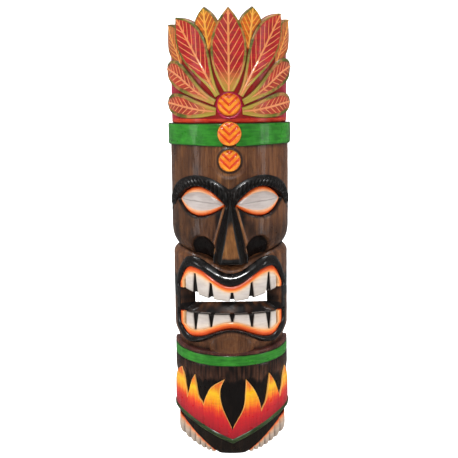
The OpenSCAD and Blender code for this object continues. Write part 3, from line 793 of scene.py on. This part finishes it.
def bite(row, share):
    return row["bite"] + row["bite_rise"] * abs(share) ** 1.8


def in_mouth(x, z):
    """How far a place lies inside the mouth's outline."""
    share = clamp(x / MOUTH, -1, 1)
    return min(BITE + arch(UPPER, share) - z, z - BITE + arch(LOWER, share), MOUTH - abs(x))


def muzzle_skin(spot):
    u, z, x = spot["u"], spot["z"], spot["x"]
    radius = MUZZLE + tool_marks(u, z)
    radius -= 6 * (1 - clamp((smile(x) - z) / 10)) ** 2.2
    foot = z - collar_top(u)
    radius -= (MUZZLE - MUZZLE_FOOT) * (1 - smooth((foot - 5) / 18))
    mouth = in_mouth(x, z)
    inner = MUZZLE - MOUTH_DEEP + 5 * smooth((abs(x) - SLOT_HALF) / 14)
    if abs(u) < SLOT_U + 1:
        # The floor of the mouth rises inwards, from behind the lower teeth to the slot.
        inner -= (inner - BACK - 0.6) * clamp((z - FLOOR_FRONT) / (floor_back(u) - FLOOR_FRONT))
    # Behind the teeth the wood stands closer, so that the gaps between them read as black cuts.
    share = x / MOUTH
    rows = max(z - BITE - bite(UPPER, share) - 0.8, BITE - bite(LOWER, share) - 0.3 - z)
    gaps = smooth(rows / 1.2)
    inner = inner * (1 - gaps) + (MUZZLE - GAP_DEEP) * gaps
    depth = smooth((mouth + 0.4) / 1.6)
    radius = radius * (1 - depth) + inner * depth
    mottle = noise.noise(Vector((u * 0.1, z * 0.1, 0)))
    around = clamp(1 + min(mouth, 0) / (19 if z > BITE else 9))
    floor = 0.35 if z < floor_back(u) and abs(u) < SLOT_U + 8 else 0
    # Inside the mouth the gaps between the teeth are black; the rest is darkened as painted shade, mottled,
    # and deepest on the floor and at the ends of the slot.
    gaps_and_mouth_shade = max(1.3 * gaps, 0.3 + floor + 0.5 * mottle + 0.5 * clamp(1 - abs(abs(u) - SLOT_U) / 5))
    # Outside the mouth the wood darkens round it and at the foot above the collar, and painted shade darkens
    # the crease under the smile line.
    spot["burn"] = max(1.1 * smooth(around) if mouth < 0 else gaps_and_mouth_shade,
                       0.6 * clamp(1 - (foot - 4) / 9), 0.6 * clamp(1 - (smile(x) - z) / 2))
    return radius


def floor_back(u):
    """Height of the slot's lower edge: level to the eye, so a little higher in the middle."""
    return FLOOR_BACK + FLOOR_SLOPE * (BACK * math.cos(u / LOG) - 25)


def slot_top(u):
    return BITE + bite(UPPER, sight(u) / MOUTH) + 0.5


def pull_to_slot(u, z):
    """Draws the points nearest to the slot's outline on to it, so that its edges are clean."""
    if abs(abs(u) - SLOT_U) < SNAP_U:
        u = math.copysign(SLOT_U, u)
    for level in (floor_back(u), slot_top(u)):
        if abs(u) <= SLOT_U and abs(z - level) < SNAP_Z:
            z = level
    return u, z


def in_slot(u, z):
    return abs(u) < SLOT_U and floor_back(u) < z < slot_top(u)


def make_muzzle():
    edges = round_the_log(lambda u: collar_top(u) - 6, lambda u: smile(sight(u)) - 0.1)
    carve_piece("muzzle_carving", MUZZLE_WOOD, "stained_wood", edges, muzzle_skin, BACK, (200, 150),
                ("muzzle_block",), hole=in_slot, pull=pull_to_slot)


def gum_line(row, half, span, grow, corner=0):
    """One edge of a gum or a lip, from corner to corner. half is half its width, span the share of the
    mouth's arch that it follows, grow(share) its distance outside the arch, and corner how far its ends
    stand inside the bite."""
    end = BITE + row["up"] * (bite(row, 1) - corner)
    arched = []
    for i in range(-GUM_STEPS, GUM_STEPS + 1):
        share = span * i / GUM_STEPS
        arched.append(front(half * i / GUM_STEPS, BITE + row["up"] * (arch(row, share) + grow(share))))
    return rail([front(-half, end)] + arched + [front(half, end)])


def upper_lip_grow(share):
    return 15 - 6.5 * share ** 2


def lower_lip_grow(share):
    return 2.6 + 5 * smooth(abs(share) * 1.6)


def make_gum(row, word):
    def skin(spot):
        spot["burn"] = 0.5 * clamp(1 - (1 - spot["s"]) * 9)
        return MUZZLE - 2.0 + 2.4 * hump(spot["s"], 0.18, 0.7) + cuts(spot, 0.05, 0.15)

    def lip(spot):
        swell = 4.6 * hump(spot["s"], 0.1, 0.9) * (1 - 0.5 * (spot["x"] / LOG) ** 2)
        return MUZZLE - 0.5 + swell + cuts(spot, 0.02, 0.4)
    grow = upper_lip_grow if row["up"] > 0 else lower_lip_grow
    inner = gum_line(row, MOUTH * TOOTH_REACH, TOOTH_REACH, lambda share: -GUM_W)
    middle = gum_line(row, MOUTH, 1, lambda share: 0.0)
    outer = gum_line(row, MOUTH + LIP_SIDE, 1, grow, LIP_CORNER)
    carve_piece(word + "_gum", GUM, "orange_paint", (inner, middle), skin, MUZZLE - 10, (220, 12))
    carve_piece(word + "_lip", LIP_BLACK, "black_paint", (middle, outer), lip, MUZZLE - 3, (220, 16))


def make_tooth(row, index, name):
    """One tooth between two tapered gaps: wide gaps at the bite, pointed at the gum."""
    start = -TOOTH_REACH * MOUTH + 0.2 if index == 0 else GAPS[index - 1] * MOUTH
    end = TOOTH_REACH * MOUTH - 0.2 if index == len(GAPS) else GAPS[index] * MOUTH
    gap_a, gap_b = (0 if index == 0 else GAP_W / 2), (0 if index == len(GAPS) else GAP_W / 2)
    width = end - start

    def place(t, spare, level):
        x = start + spare * gap_a + 0.2 + (end - start - spare * (gap_a + gap_b) - 0.4) * t
        return front(x, BITE + row["up"] * level(x / MOUTH))
    edges = (lambda t: place(t, 1.0, lambda share: bite(row, share)),
             lambda t: place(t, 0.05, lambda share: arch(row, share) - GUM_W + 0.4))

    def skin(spot):
        sides = min(spot["t"], 1 - spot["t"]) * width
        edge = min(sides, spot["s"] * 12)
        spot["burn"] = 1.2 if edge < 0.05 else 0.25 * clamp(1 - edge / 1.6)
        return MUZZLE - 5.5 + rounded(edge + 0.3, 2.6, 3.2) + 0.8 * spot["s"] + cuts(spot, 0.03, 0.25)
    carve_piece(name, TOOTH, "tooth_white", edges, skin, MUZZLE - 10.2, (18, 16))


def make_chin():
    def foot(t):
        return CHIN_W * (t - 0.5), collar_top(CHIN_W * (t - 0.5))
    edges = (lambda t: front(foot(t)[0], foot(t)[1] + 3),
             lambda t: front(foot(t)[0], foot(t)[1] + 3.5 + 25 * math.sin(math.pi * t) ** 0.7))

    def skin(spot):
        ring = math.hypot(spot["x"] / 30, (spot["z"] - collar_top(0) - 12.5) / 18)
        swell = math.sqrt(max(0, 1 - ring ** 2))
        ring += 0.12 * noise.noise(Vector((spot["u"] * 0.12, spot["z"] * 0.12, 5)))
        spot["burn"] = max(0.95 * clamp(1 - swell * 1.8), 0.16 * (1 + math.sin(ring * 22)))
        return MUZZLE_FOOT - 1 + 7.5 * swell + 0.12 * math.sin(ring * 22) + cuts(spot, 0.2, 0.3)
    carve_piece("chin", CHIN_WOOD, "light_wood", edges, skin, MUZZLE_FOOT - 4, (70, 34))


# ---- Bands, skirt and feet --------------------------------------------------------------------------

LEDGE_H = 4.6
RIDGE_HALF = 3.2


def band_skin(reach, corner, stain, stained_from):
    """Skin of a painted band with rounded edges, stained towards its ends."""
    def skin(spot):
        ends = abs(spot["u"]) / HALF_ROUND
        # The paint is darker towards the band's ends, and along its edges as painted shade.
        spot["burn"] = stain * smooth((ends - stained_from) / 0.2) + 0.3 * clamp(1 - spot["edge"] / 1.2)
        return reach - 1.3 + rounded(spot["edge"] + 0.1, corner, 1.2) + cuts(spot, 0.03, 0.35)
    return skin


def ledge_skin(spot):
    spot["burn"] = (0.8 * clamp(1 - spot["s"] * 5)
                    + 0.3 * clamp(noise.noise(Vector((spot["u"] * 0.1, 3, 0)))))
    return COLLAR - 1.6 + 1.6 * hump(spot["s"], 0.1, 0.6) - 1.5 * spot["s"] ** 3 + cuts(spot, 0.1, 0.5)


def moulding_skin(spot):
    return CROWN + 2.2 + rounded(spot["edge"], 2, 1.3) + cuts(spot, 0.05, 0.4)


def make_bands():
    notch = math.degrees(0.6 * ROSETTE_R / LOG)
    for word, span in (("left", (-90, -notch)), ("right", (notch, 90))):
        edges = round_the_log(lambda u: BAND_Z + 0.3 - 1.5 * math.cos(u / LOG) ** 8, lambda u: CROWN_Z, *span)
        skin = band_skin(BAND, 1.3, 0.75, 0.78)
        carve_piece("headband_" + word, GREEN, "green_paint", edges, skin, LOG - 4, (90, 22))
    edges = round_the_log(lambda u: collar_top(u) - COLLAR_H, collar_top)
    skin = band_skin(COLLAR, 1.4, 0.7, 0.8)
    carve_piece("collar_band", GREEN, "green_paint", edges, skin, MUZZLE_FOOT - 3, (180, 16))
    edges = round_the_log(lambda u: collar_top(u) - 0.2, lambda u: collar_top(u) + LEDGE_H)
    carve_piece("collar_ledge", LEDGE_WOOD, "stained_wood", edges, ledge_skin, MUZZLE_FOOT - 3, (180, 10), ())
    edges = round_the_log(lambda u: CROWN_Z,
                          lambda u: CROWN_Z + 6.5 + 0.8 * noise.noise(Vector((u * 0.2, 0, 0))))
    carve_piece("crown_moulding", MOULDING, "moulding_red", edges, moulding_skin, CROWN - 1, (160, 8))


def skirt_radius(u):
    """The skirt stands a little wider at the sides than at the front."""
    return SKIRT + 2.4 * smooth((abs(u) / LOG - 0.8) / 0.6)


def skirt_skin(spot):
    below = collar_top(spot["u"]) - COLLAR_H - spot["z"]
    # The ground behind the flames is cut back and burnt black, up to scallops between their tips.
    turn = abs(math.sin(math.pi * 2.9 * spot["u"] / HALF_ROUND))
    streak = 4 * noise.noise(Vector((spot["u"] * 0.35, 1.7, 0)))
    field = smooth((FLAME_TIP + 4 + 5 * turn + streak - spot["z"]) / 12)
    grain = noise.noise(Vector((spot["u"] * 0.45, spot["z"] * 0.03, 4)))
    spot["burn"] = max(0.9 * clamp(1 - below / 2.5), (0.84 + 0.16 * grain) * field,
                       0.34 + 0.5 * grain + 0.3 * clamp(1 - below / 30))
    cut_back = 1.2 * field + 0.9 * clamp(1 - below / 3) ** 2
    return skirt_radius(spot["u"]) + 0.6 - cut_back + cuts(spot, 0.22, 0.3)


def ridge_skin(spot):
    return skirt_radius(spot["u"]) - 0.6 + 3.2 * hump(spot["s"], 0.08, 0.84) ** 0.6 + cuts(spot, 0.05, 0.3)


def make_skirt():
    edges = round_the_log(lambda u: chevron(sight(u)), lambda u: collar_top(u) - COLLAR_H + 3)
    carve_piece("skirt_carving", SKIRT_WOOD, "dark_wood", edges, skirt_skin, BACK, (180, 90),
                ("skirt_block",))
    edges = round_the_log(lambda u: chevron(sight(u)) - RIDGE_HALF, lambda u: chevron(sight(u)) + RIDGE_HALF)
    carve_piece("chevron_ridge", RIDGE_GREEN, "ridge_green", edges, ridge_skin, SKIRT - 2, (180, 8))


FLAME_TIP = 90.0
# The two edges of each flame, as arc and height from the foot to the tip. Neighbours share an edge up to
# the valley between them, and a height of 0 stands for the ridge.
FLAMES = {
    -1: ((((-103, 0), (-103, 62), (-96, 78), (-85, 90), (-73.5, 96.5)),
          ((-62.5, 0), (-62.5, 61.5), (-65.5, 76), (-69, 88), (-73.5, 96.5))),
         (((-62.5, 0), (-62.5, 61.5), (-58.5, 74), (-54.5, 84), (-49, 92)),
          ((-36, 0), (-36, 57.5), (-43, 68), (-46.8, 82), (-49, 92))),
         (((-36, 0), (-36, 57.5), (-30.5, 73), (-23.5, 82), (-8.7, 90.7)),
          ((0, 0), (-1, 33), (-11.5, 57), (-14.4, 76), (-8.7, 90.7)))),
    1: ((((0, 0), (1, 33), (13.5, 56), (16.3, 76), (16.9, 90)),
         ((36.8, 0), (36.8, 50), (33.7, 64), (26.7, 78), (16.9, 90))),
        (((36.8, 0), (36.8, 50), (43.6, 62), (47.3, 79), (50, 92.5)),
         ((69.3, 0), (69.3, 59.5), (66.2, 67), (59.6, 80), (50, 92.5))),
        (((69.3, 0), (69.3, 59.5), (74.5, 72), (78, 84), (81.8, 94.5)),
         ((103, 0), (103, 60), (98, 72), (90, 86), (81.8, 94.5)))),
}


def ridge_top(u):
    return chevron(sight(u)) + 2


def make_flames(side, name):
    bm = bmesh.new()
    for left, right in FLAMES[side]:
        # Neighbours overlap a little where they share an edge.
        edges = [rail([(u + (out if i < 2 else 0), z or ridge_top(u)) for i, (u, z) in enumerate(edge)])
                 for out, edge in ((-0.25, left), (0.25, right))]
        tip, valley = left[-1][1], min(left[1][1], right[1][1])

        def skin(spot):
            low = ridge_top(spot["u"])
            spot["level"] = clamp((spot["z"] - low) / (tip - low))
            # Below the valleys the flames run together.
            spot["edge"] += 6 * smooth((valley + 1 - spot["z"]) / 4)
            relief = 0.2 + rounded(spot["edge"] + 0.1, 2.0, 1.3)
            return skirt_radius(spot["u"]) + relief + cuts(spot, 0.12, 0.2)
        carve(bm, edges, skin, SKIRT - 1.5, (70, 24))
    finish_piece(name, bm, FLAME, (name,))


TOES = 7
FOOT_HALF = 19.0
FOOT_SIDE_Z = 38.0


def foot_line(x):
    """Height of the edge between the chin block and a foot."""
    if abs(x) < FOOT_HALF:
        return 0.4 + 2.6 * clamp((abs(x) - 13) / 6) ** 2
    return 3 + (FOOT_SIDE_Z - 3) * (abs(x) - FOOT_HALF) / (LOG - FOOT_HALF)


def undercut(rise):
    """Share of its depth by which a lower edge is rounded under, from 1 at the edge to 0 where rise is 1."""
    return 1 - math.sqrt(1 - (1 - rise) ** 2)


def make_plate():
    def skin(spot):
        return SKIRT - 1.2 - 7 * undercut(clamp(spot["z"] / 14)) + cuts(spot, 0.2, 0.3)
    edges = round_the_log(lambda u: foot_line(sight(u)), lambda u: chevron(sight(u)) - 0.2)
    carve_piece("chin_plate", PLATE_WOOD, "burnt_wood", edges, skin, "wall", (180, 30), ("chin_block",))


def make_foot(side, name):
    """A foot of seven carved strands that end in round toes along its lower edge."""
    start = FOOT_HALF + 2
    length = LOG - start - 0.4

    def strand(t):
        return abs(math.sin(math.pi * TOES * t))

    def lower(t):
        return front(-start - t * length, foot_line(start) + 0.8 + 12 * t ** 1.6 - 3.0 * strand(t) ** 0.55)

    def upper(t):
        x = start + t * length
        return front(-x, foot_line(x) - 0.05)

    def skin(spot):
        round_back = strand(spot["t"] if side < 0 else 1 - spot["t"])
        # Painted shade in the grooves between the strands, strongest towards the toes.
        spot["burn"] = 0.75 * (1 - round_back) ** 2 * clamp(0.2 + spot["s"])
        spot["level"] = 1 - spot["s"]
        relief = 2.6 * round_back ** 0.6 * (0.4 + 0.6 * spot["s"])
        return skirt_radius(spot["u"]) - 2.6 + relief - 4 * undercut(clamp((1 - spot["s"]) * 2.5))
    edges = (upper, lower) if side < 0 else mirrored((lower, upper))
    carve_piece(name, FOOT, "foot_white", edges, skin, "wall", (150, 18))


# ---- Crown ------------------------------------------------------------------------------------------

LEAVES = {
    "leaf_center": dict(
        shape=dict(base=(0, ROSETTE_Z + 15), tip=(0, TOP_Z - 0.5), left=(23, 28), right=(23, 28), foot=5.5),
        top=6.6, paint=RED_LEAF, slot="leaf_red", cells=(120, 44)),
    "leaf_tall": dict(
        shape=dict(base=(-12.5, ROSETTE_Z + 10.5), tip=arc(-58.5, TOP_Z - 7),
                   left=(1, 37), right=(5, 48), foot=3.5),
        top=6.0, paint=RED_LEAF, slot="leaf_red", cells=(120, 44)),
    "leaf_peak": dict(
        shape=dict(base=arc(-19, TOP_Z - 46), tip=arc(-23.6, TOP_Z), left=(16, 24), right=(16, 22)),
        top=4.6, paint=PEAK_LEAF, slot="leaf_yellow", cells=(80, 36)),
    "leaf_corner": dict(
        shape=dict(base=arc(-50, ROSETTE_Z + 36), tip=arc(-77, TOP_Z - 12), left=(-2, 40), right=(12, 36)),
        top=5.2, paint=CORNER_LEAF, slot="leaf_orange", cells=(80, 36)),
    "leaf_side": dict(
        shape=dict(base=(-15.5, ROSETTE_Z + 3.5), tip=arc(-88, ROSETTE_Z + 42),
                   left=(4, 14), right=(4, 46), foot=3.6),
        top=6.4, paint=ROSE_LEAF, slot="leaf_rose", cells=(120, 36)),
    "leaf_low": dict(
        shape=dict(base=(-14.5, ROSETTE_Z - 6), tip=arc(-88, ROSETTE_Z + 3),
                   left=(14, 16), right=(9, 27), foot=4.2),
        top=6.2, paint=ROSE_LEAF, slot="leaf_rose", cells=(120, 36)),
}
TIP_LIFT = {"leaf_tall": 1.8, "leaf_corner": 2.2, "leaf_side": 0.8}
LEAF_FLARE = 1.9                 # how much wider the leaves stand at the sides of the log


def leaf_shape(kind, side):
    """A leaf's outline. The hand-cut tips on the right reach a little higher than those on the left."""
    shape = LEAVES[kind]["shape"]
    return dict(shape, tip=(shape["tip"][0], shape["tip"][1] + TIP_LIFT.get(kind, 0) * side))


@functools.lru_cache(maxsize=None)
def crown_line(u):
    """Height of the crown's outline, just inside the tips of the leaves."""
    z = TOP_Z
    shapes = [leaf_shape(kind, -1 if u < 0 else 1) for kind in LEAVES]
    while z > CROWN_Z + 12 and max(inside((-abs(u), z), **shape) for shape in shapes) < 0.8:
        z -= 0.5
    return z


def make_crown_ground():
    """The painted wood between the leaves, a little below their tops."""
    edges = round_the_log(lambda u: CROWN_Z + 5, crown_line, -87, 87)
    carve_piece("crown_ground", GROUND_PAINT, "crown_ground_paint", edges,
                lambda spot: CROWN + 3.6 + cuts(spot, 0.1, 0.5), CROWN - 1, (260, 90), ())


def make_leaf(kind, side, name):
    leaf = LEAVES[kind]
    edges = blade(**leaf_shape(kind, side))

    def skin(spot):
        mid = abs(spot["across"])
        field = rounded(spot["edge"], 2.2, 1.6) - 0.5 * smooth((spot["edge"] - 2.6) / 1.2)
        rib = 0.9 * clamp(1 - mid / 1.5) * clamp(spot["edge"] / 2)
        flare = LEAF_FLARE * smooth((abs(spot["u"]) / LOG - 0.9) / 0.5)
        return CROWN + leaf["top"] - 1.9 + flare + field + rib + cuts(spot, 0.08, 0.3)
    carve_piece(name, leaf["paint"], leaf["slot"], mirrored(edges) if side > 0 else edges, skin, CROWN - 1.5,
                leaf["cells"])


CHEVRON_PITCH = 8.2


def build_rosette_paint(n):
    """Orange rosette: chevron grooves either side of a midline, with a yellow rim."""
    brush = group_node(n, BRUSH)
    across = n.math("ABSOLUTE", n.mark("across"))
    run = n.minus(n.mark("along"), n.times(across, 0.95))
    turn = n.math("FRACT", n.math("DIVIDE", run, CHEVRON_PITCH))
    off = n.math("ABSOLUTE", n.minus(turn, 0.5))
    stripe = n.band(off, 0.29, 0.15)
    field = n.mix(n.band(brush["Tone"], 0.38, 0.62), srgb(244, 122, 30), srgb(252, 160, 44))
    colour = n.mix(n.times(stripe, 0.92), field, srgb(222, 56, 22))
    colour = n.mix(n.band(n.mark("edge"), 1.6, 0.6, 0, 0.7), colour, srgb(244, 150, 50))
    colour = n.mix(n.times(n.mark("burn"), 1.0), colour, srgb(60, 22, 12))
    return colour, n.plus(n.times(brush["Fine"], 0.3), n.minus(1.0, stripe))


ROSETTE = surface("rosette_paint", build_rosette_paint, rough=0.28, bump=0.0003, coat=0.6)


def make_rosette(name, seat, z, radius, out, lift=0.0):
    """A domed disc with chevron grooves, spun about the line that it faces along. lift is the height of
    its rim above the seat."""
    bm = bmesh.new()
    layers = {mark: bm.verts.layers.float.new(mark) for mark in MARKS}
    rings, turns = 22, 88
    profile = [bm.verts.new((0, 0, 0))]
    for i in range(1, rings + 1):
        profile.append(bm.verts.new((radius * MM * i / rings, 0, 0)))
    profile.append(bm.verts.new((radius * MM, out * MM, 0)))
    profile.append(bm.verts.new((0, out * MM, 0)))
    lines = [bm.edges.new(pair) for pair in zip(profile, profile[1:])]
    bmesh.ops.spin(bm, geom=profile + lines, cent=(0, 0, 0), axis=(0, 1, 0), angle=2 * math.pi, steps=turns,
                   use_merge=True)
    bmesh.ops.remove_doubles(bm, verts=bm.verts, dist=0.000001)
    for v in bm.verts:
        x, up = v.co.x / MM, v.co.z / MM
        edge = radius - math.hypot(x, up)
        turn = ((up + radius - abs(x) * 0.95) / CHEVRON_PITCH) % 1
        groove = 0.55 * smooth(1 - abs(turn - 0.5) / 0.24) * smooth(edge / 2)
        v[layers["edge"]], v[layers["across"]], v[layers["along"]] = edge, x, up + radius
        v[layers["burn"]] = 1.0 * clamp(1 - edge / 0.5)
        if v.co.y < out * MM * 0.5:
            v.co.y = (out - 1.4 - lift - rounded(edge + 0.05, 5.5, out - 1.8 - lift) + groove) * MM
        v.co += Vector((0, -(seat + out - 1.2) * MM, GROUND + z * MM))
    finish_piece(name, bm, ROSETTE, (name,))


def make_rosette_ring():
    """The painted ring round the crown's rosette, laid on the curved ground."""
    def ring(radius):
        return lambda t: front(radius * math.sin(2 * math.pi * t),
                               ROSETTE_Z + radius * math.cos(2 * math.pi * t))
    carve_piece("rosette_ring", MAGENTA, "magenta_paint", (ring(ROSETTE_R - 0.5), ring(ROSETTE_R + 3.4)),
                lambda spot: CROWN + 1.6 + 2.6 * hump(spot["s"], 0.1, 0.8) ** 0.7, CROWN - 1, (96, 8))


# ---- Putting the figure together --------------------------------------------------------------------

def dress_cad(node, material):
    """Gives a CAD node that keeps its own shape a better finish."""
    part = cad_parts[node]
    if not part.data.materials:
        part.data.materials.append(material)
    for place in range(len(part.material_slots)):
        part.material_slots[place].material = material


SIDES = ((-1, "left"), (1, "right"))
make_head()
make_muzzle()
make_nose()
for side, word in SIDES:
    make_brow(side, "brow_" + word)
    make_eye(side, word)
make_gum(UPPER, "upper")
make_gum(LOWER, "lower")
for index in range(len(GAPS) + 1):
    make_tooth(UPPER, index, "upper_tooth_%d" % (index + 1))
    make_tooth(LOWER, index, "lower_tooth_%d" % (index + 1))
make_chin()
make_bands()
make_skirt()
make_plate()
for side, word in SIDES:
    make_flames(side, "flames_" + word)
    make_foot(side, "foot_" + word)
for kind in LEAVES:
    if kind == "leaf_center":
        make_leaf(kind, -1, kind)
    else:
        for side, word in SIDES:
            make_leaf(kind, side, kind + "_" + word)
make_rosette("rosette_crown", CROWN, ROSETTE_Z + 1.2, ROSETTE_R + 0.9, 8.5)
make_rosette("rosette_band", LOG - 1, ROSETTE_BAND_Z + 0.5, ROSETTE_R + 1, 8.5, 4.0)
make_rosette("rosette_brow", LOG, ROSETTE_BROW_Z, ROSETTE_R, 7.0)
make_rosette_ring()
make_crown_ground()
dress_cad("crown_block", CROWN_WOOD)
dress_cad("hanger_strap", ZINC)
dress_cad("hanger_ring", ZINC)
dress_cad("hanger_screws", SCREW)


# ---- Studio -----------------------------------------------------------------------------------------

FLOOR_HALF, FLOOR_NEAR, FLOOR_FAR, BACKDROP_H = 6, -5, 1.6, 6          # metres
SWEEP_R, SWEEP_STEPS = 0.9, 14
FIGURE_MIDDLE = (0, 0, GROUND + 0.25)


def make_floor():
    """A pale floor that sweeps up behind the figure."""
    white = surface("studio_paper", lambda n: (n.mix(n.speckle(3), srgb(250, 250, 250), srgb(255, 255, 255)),
                                               None), rough=0.8, coat=0.0)
    bm = bmesh.new()
    floor_z = GROUND - 0.12
    profile = [bm.verts.new((-FLOOR_HALF, y, floor_z)) for y in (FLOOR_NEAR, FLOOR_FAR)]
    for i in range(1, SWEEP_STEPS + 1):
        a = math.pi / 2 * i / SWEEP_STEPS
        profile.append(bm.verts.new((-FLOOR_HALF, FLOOR_FAR + SWEEP_R * math.sin(a),
                                     floor_z + SWEEP_R * (1 - math.cos(a)))))
    profile.append(bm.verts.new((-FLOOR_HALF, FLOOR_FAR + SWEEP_R, floor_z + BACKDROP_H)))
    lines = [bm.edges.new(pair) for pair in zip(profile, profile[1:])]
    made = bmesh.ops.extrude_edge_only(bm, edges=lines)["geom"]
    bmesh.ops.translate(bm, verts=[v for v in made if isinstance(v, bmesh.types.BMVert)],
                        vec=(2 * FLOOR_HALF, 0, 0))
    mesh = bpy.data.meshes.new("studio_sweep")
    bm.to_mesh(mesh)
    bm.free()
    mesh.shade_smooth()
    mesh.materials.append(white)
    sweep = bpy.data.objects.new("studio_sweep", mesh)
    bpy.context.scene.collection.objects.link(sweep)
    sweep.visible_glossy = False


def softbox(name, place, target, size, power):
    lamp = bpy.data.lights.new(name, "AREA")
    lamp.shape = "RECTANGLE"
    lamp.size, lamp.size_y = size
    lamp.energy = power
    holder = bpy.data.objects.new(name, lamp)
    bpy.context.scene.collection.objects.link(holder)
    holder.location = place
    holder.rotation_euler = (Vector(target) - Vector(place)).to_track_quat("-Z", "Y").to_euler()
    return holder


def make_lights():
    """Soft light from above and both sides, and a small lamp that only shows as a glint on the gloss."""
    softbox("key_softbox", (-0.35, -1.5, GROUND + 1.15), FIGURE_MIDDLE, (0.4, 0.3), 10)
    glint = softbox("glint_light", (-0.02, -1.0, GROUND + 1.0), FIGURE_MIDDLE, (0.14, 0.07), 9)
    glint.visible_diffuse = False
    for x, word in ((-1.6, "left"), (1.6, "right")):
        softbox(word + "_softbox", (x, -0.7, GROUND + 0.4), FIGURE_MIDDLE, (0.35, 1.2), 6)
    softbox("backdrop_light", (0, 0.4, GROUND + 2.4), (0, 2.4, GROUND + 0.3), (3, 1), 160)
    world = bpy.data.worlds.new("studio_air")
    bpy.context.scene.world = world
    world.use_nodes = True
    air = world.node_tree.nodes["Background"]
    air.inputs["Color"].default_value = (1, 1, 1, 1)
    air.inputs["Strength"].default_value = 0.22


CAMERA_PLACE = (0, -1.0, GROUND + 0.4)          # metres
CAMERA_DOWN, CAMERA_ROLL = 8.39, -0.6           # degrees
CAMERA_LENS, CAMERA_SHIFT = 67.85, -0.003


def make_camera():
    """Level with the eyes, a metre in front of the wall, looking a little down at the whole figure."""
    lens = bpy.data.cameras.new("camera")
    lens.sensor_width = 36.0
    lens.lens = CAMERA_LENS
    lens.shift_x = CAMERA_SHIFT
    camera = bpy.data.objects.new("camera", lens)
    bpy.context.scene.collection.objects.link(camera)
    camera.location = CAMERA_PLACE
    tilt, roll = math.radians(90 - CAMERA_DOWN), math.radians(CAMERA_ROLL)
    camera.rotation_euler = (Matrix.Rotation(tilt, 3, "X") @ Matrix.Rotation(roll, 3, "Z")).to_euler()
    bpy.context.scene.camera = camera
    bpy.context.scene.view_settings.view_transform = "Standard"


make_floor()
make_lights()
make_camera()
bpy.context.view_layer.update()
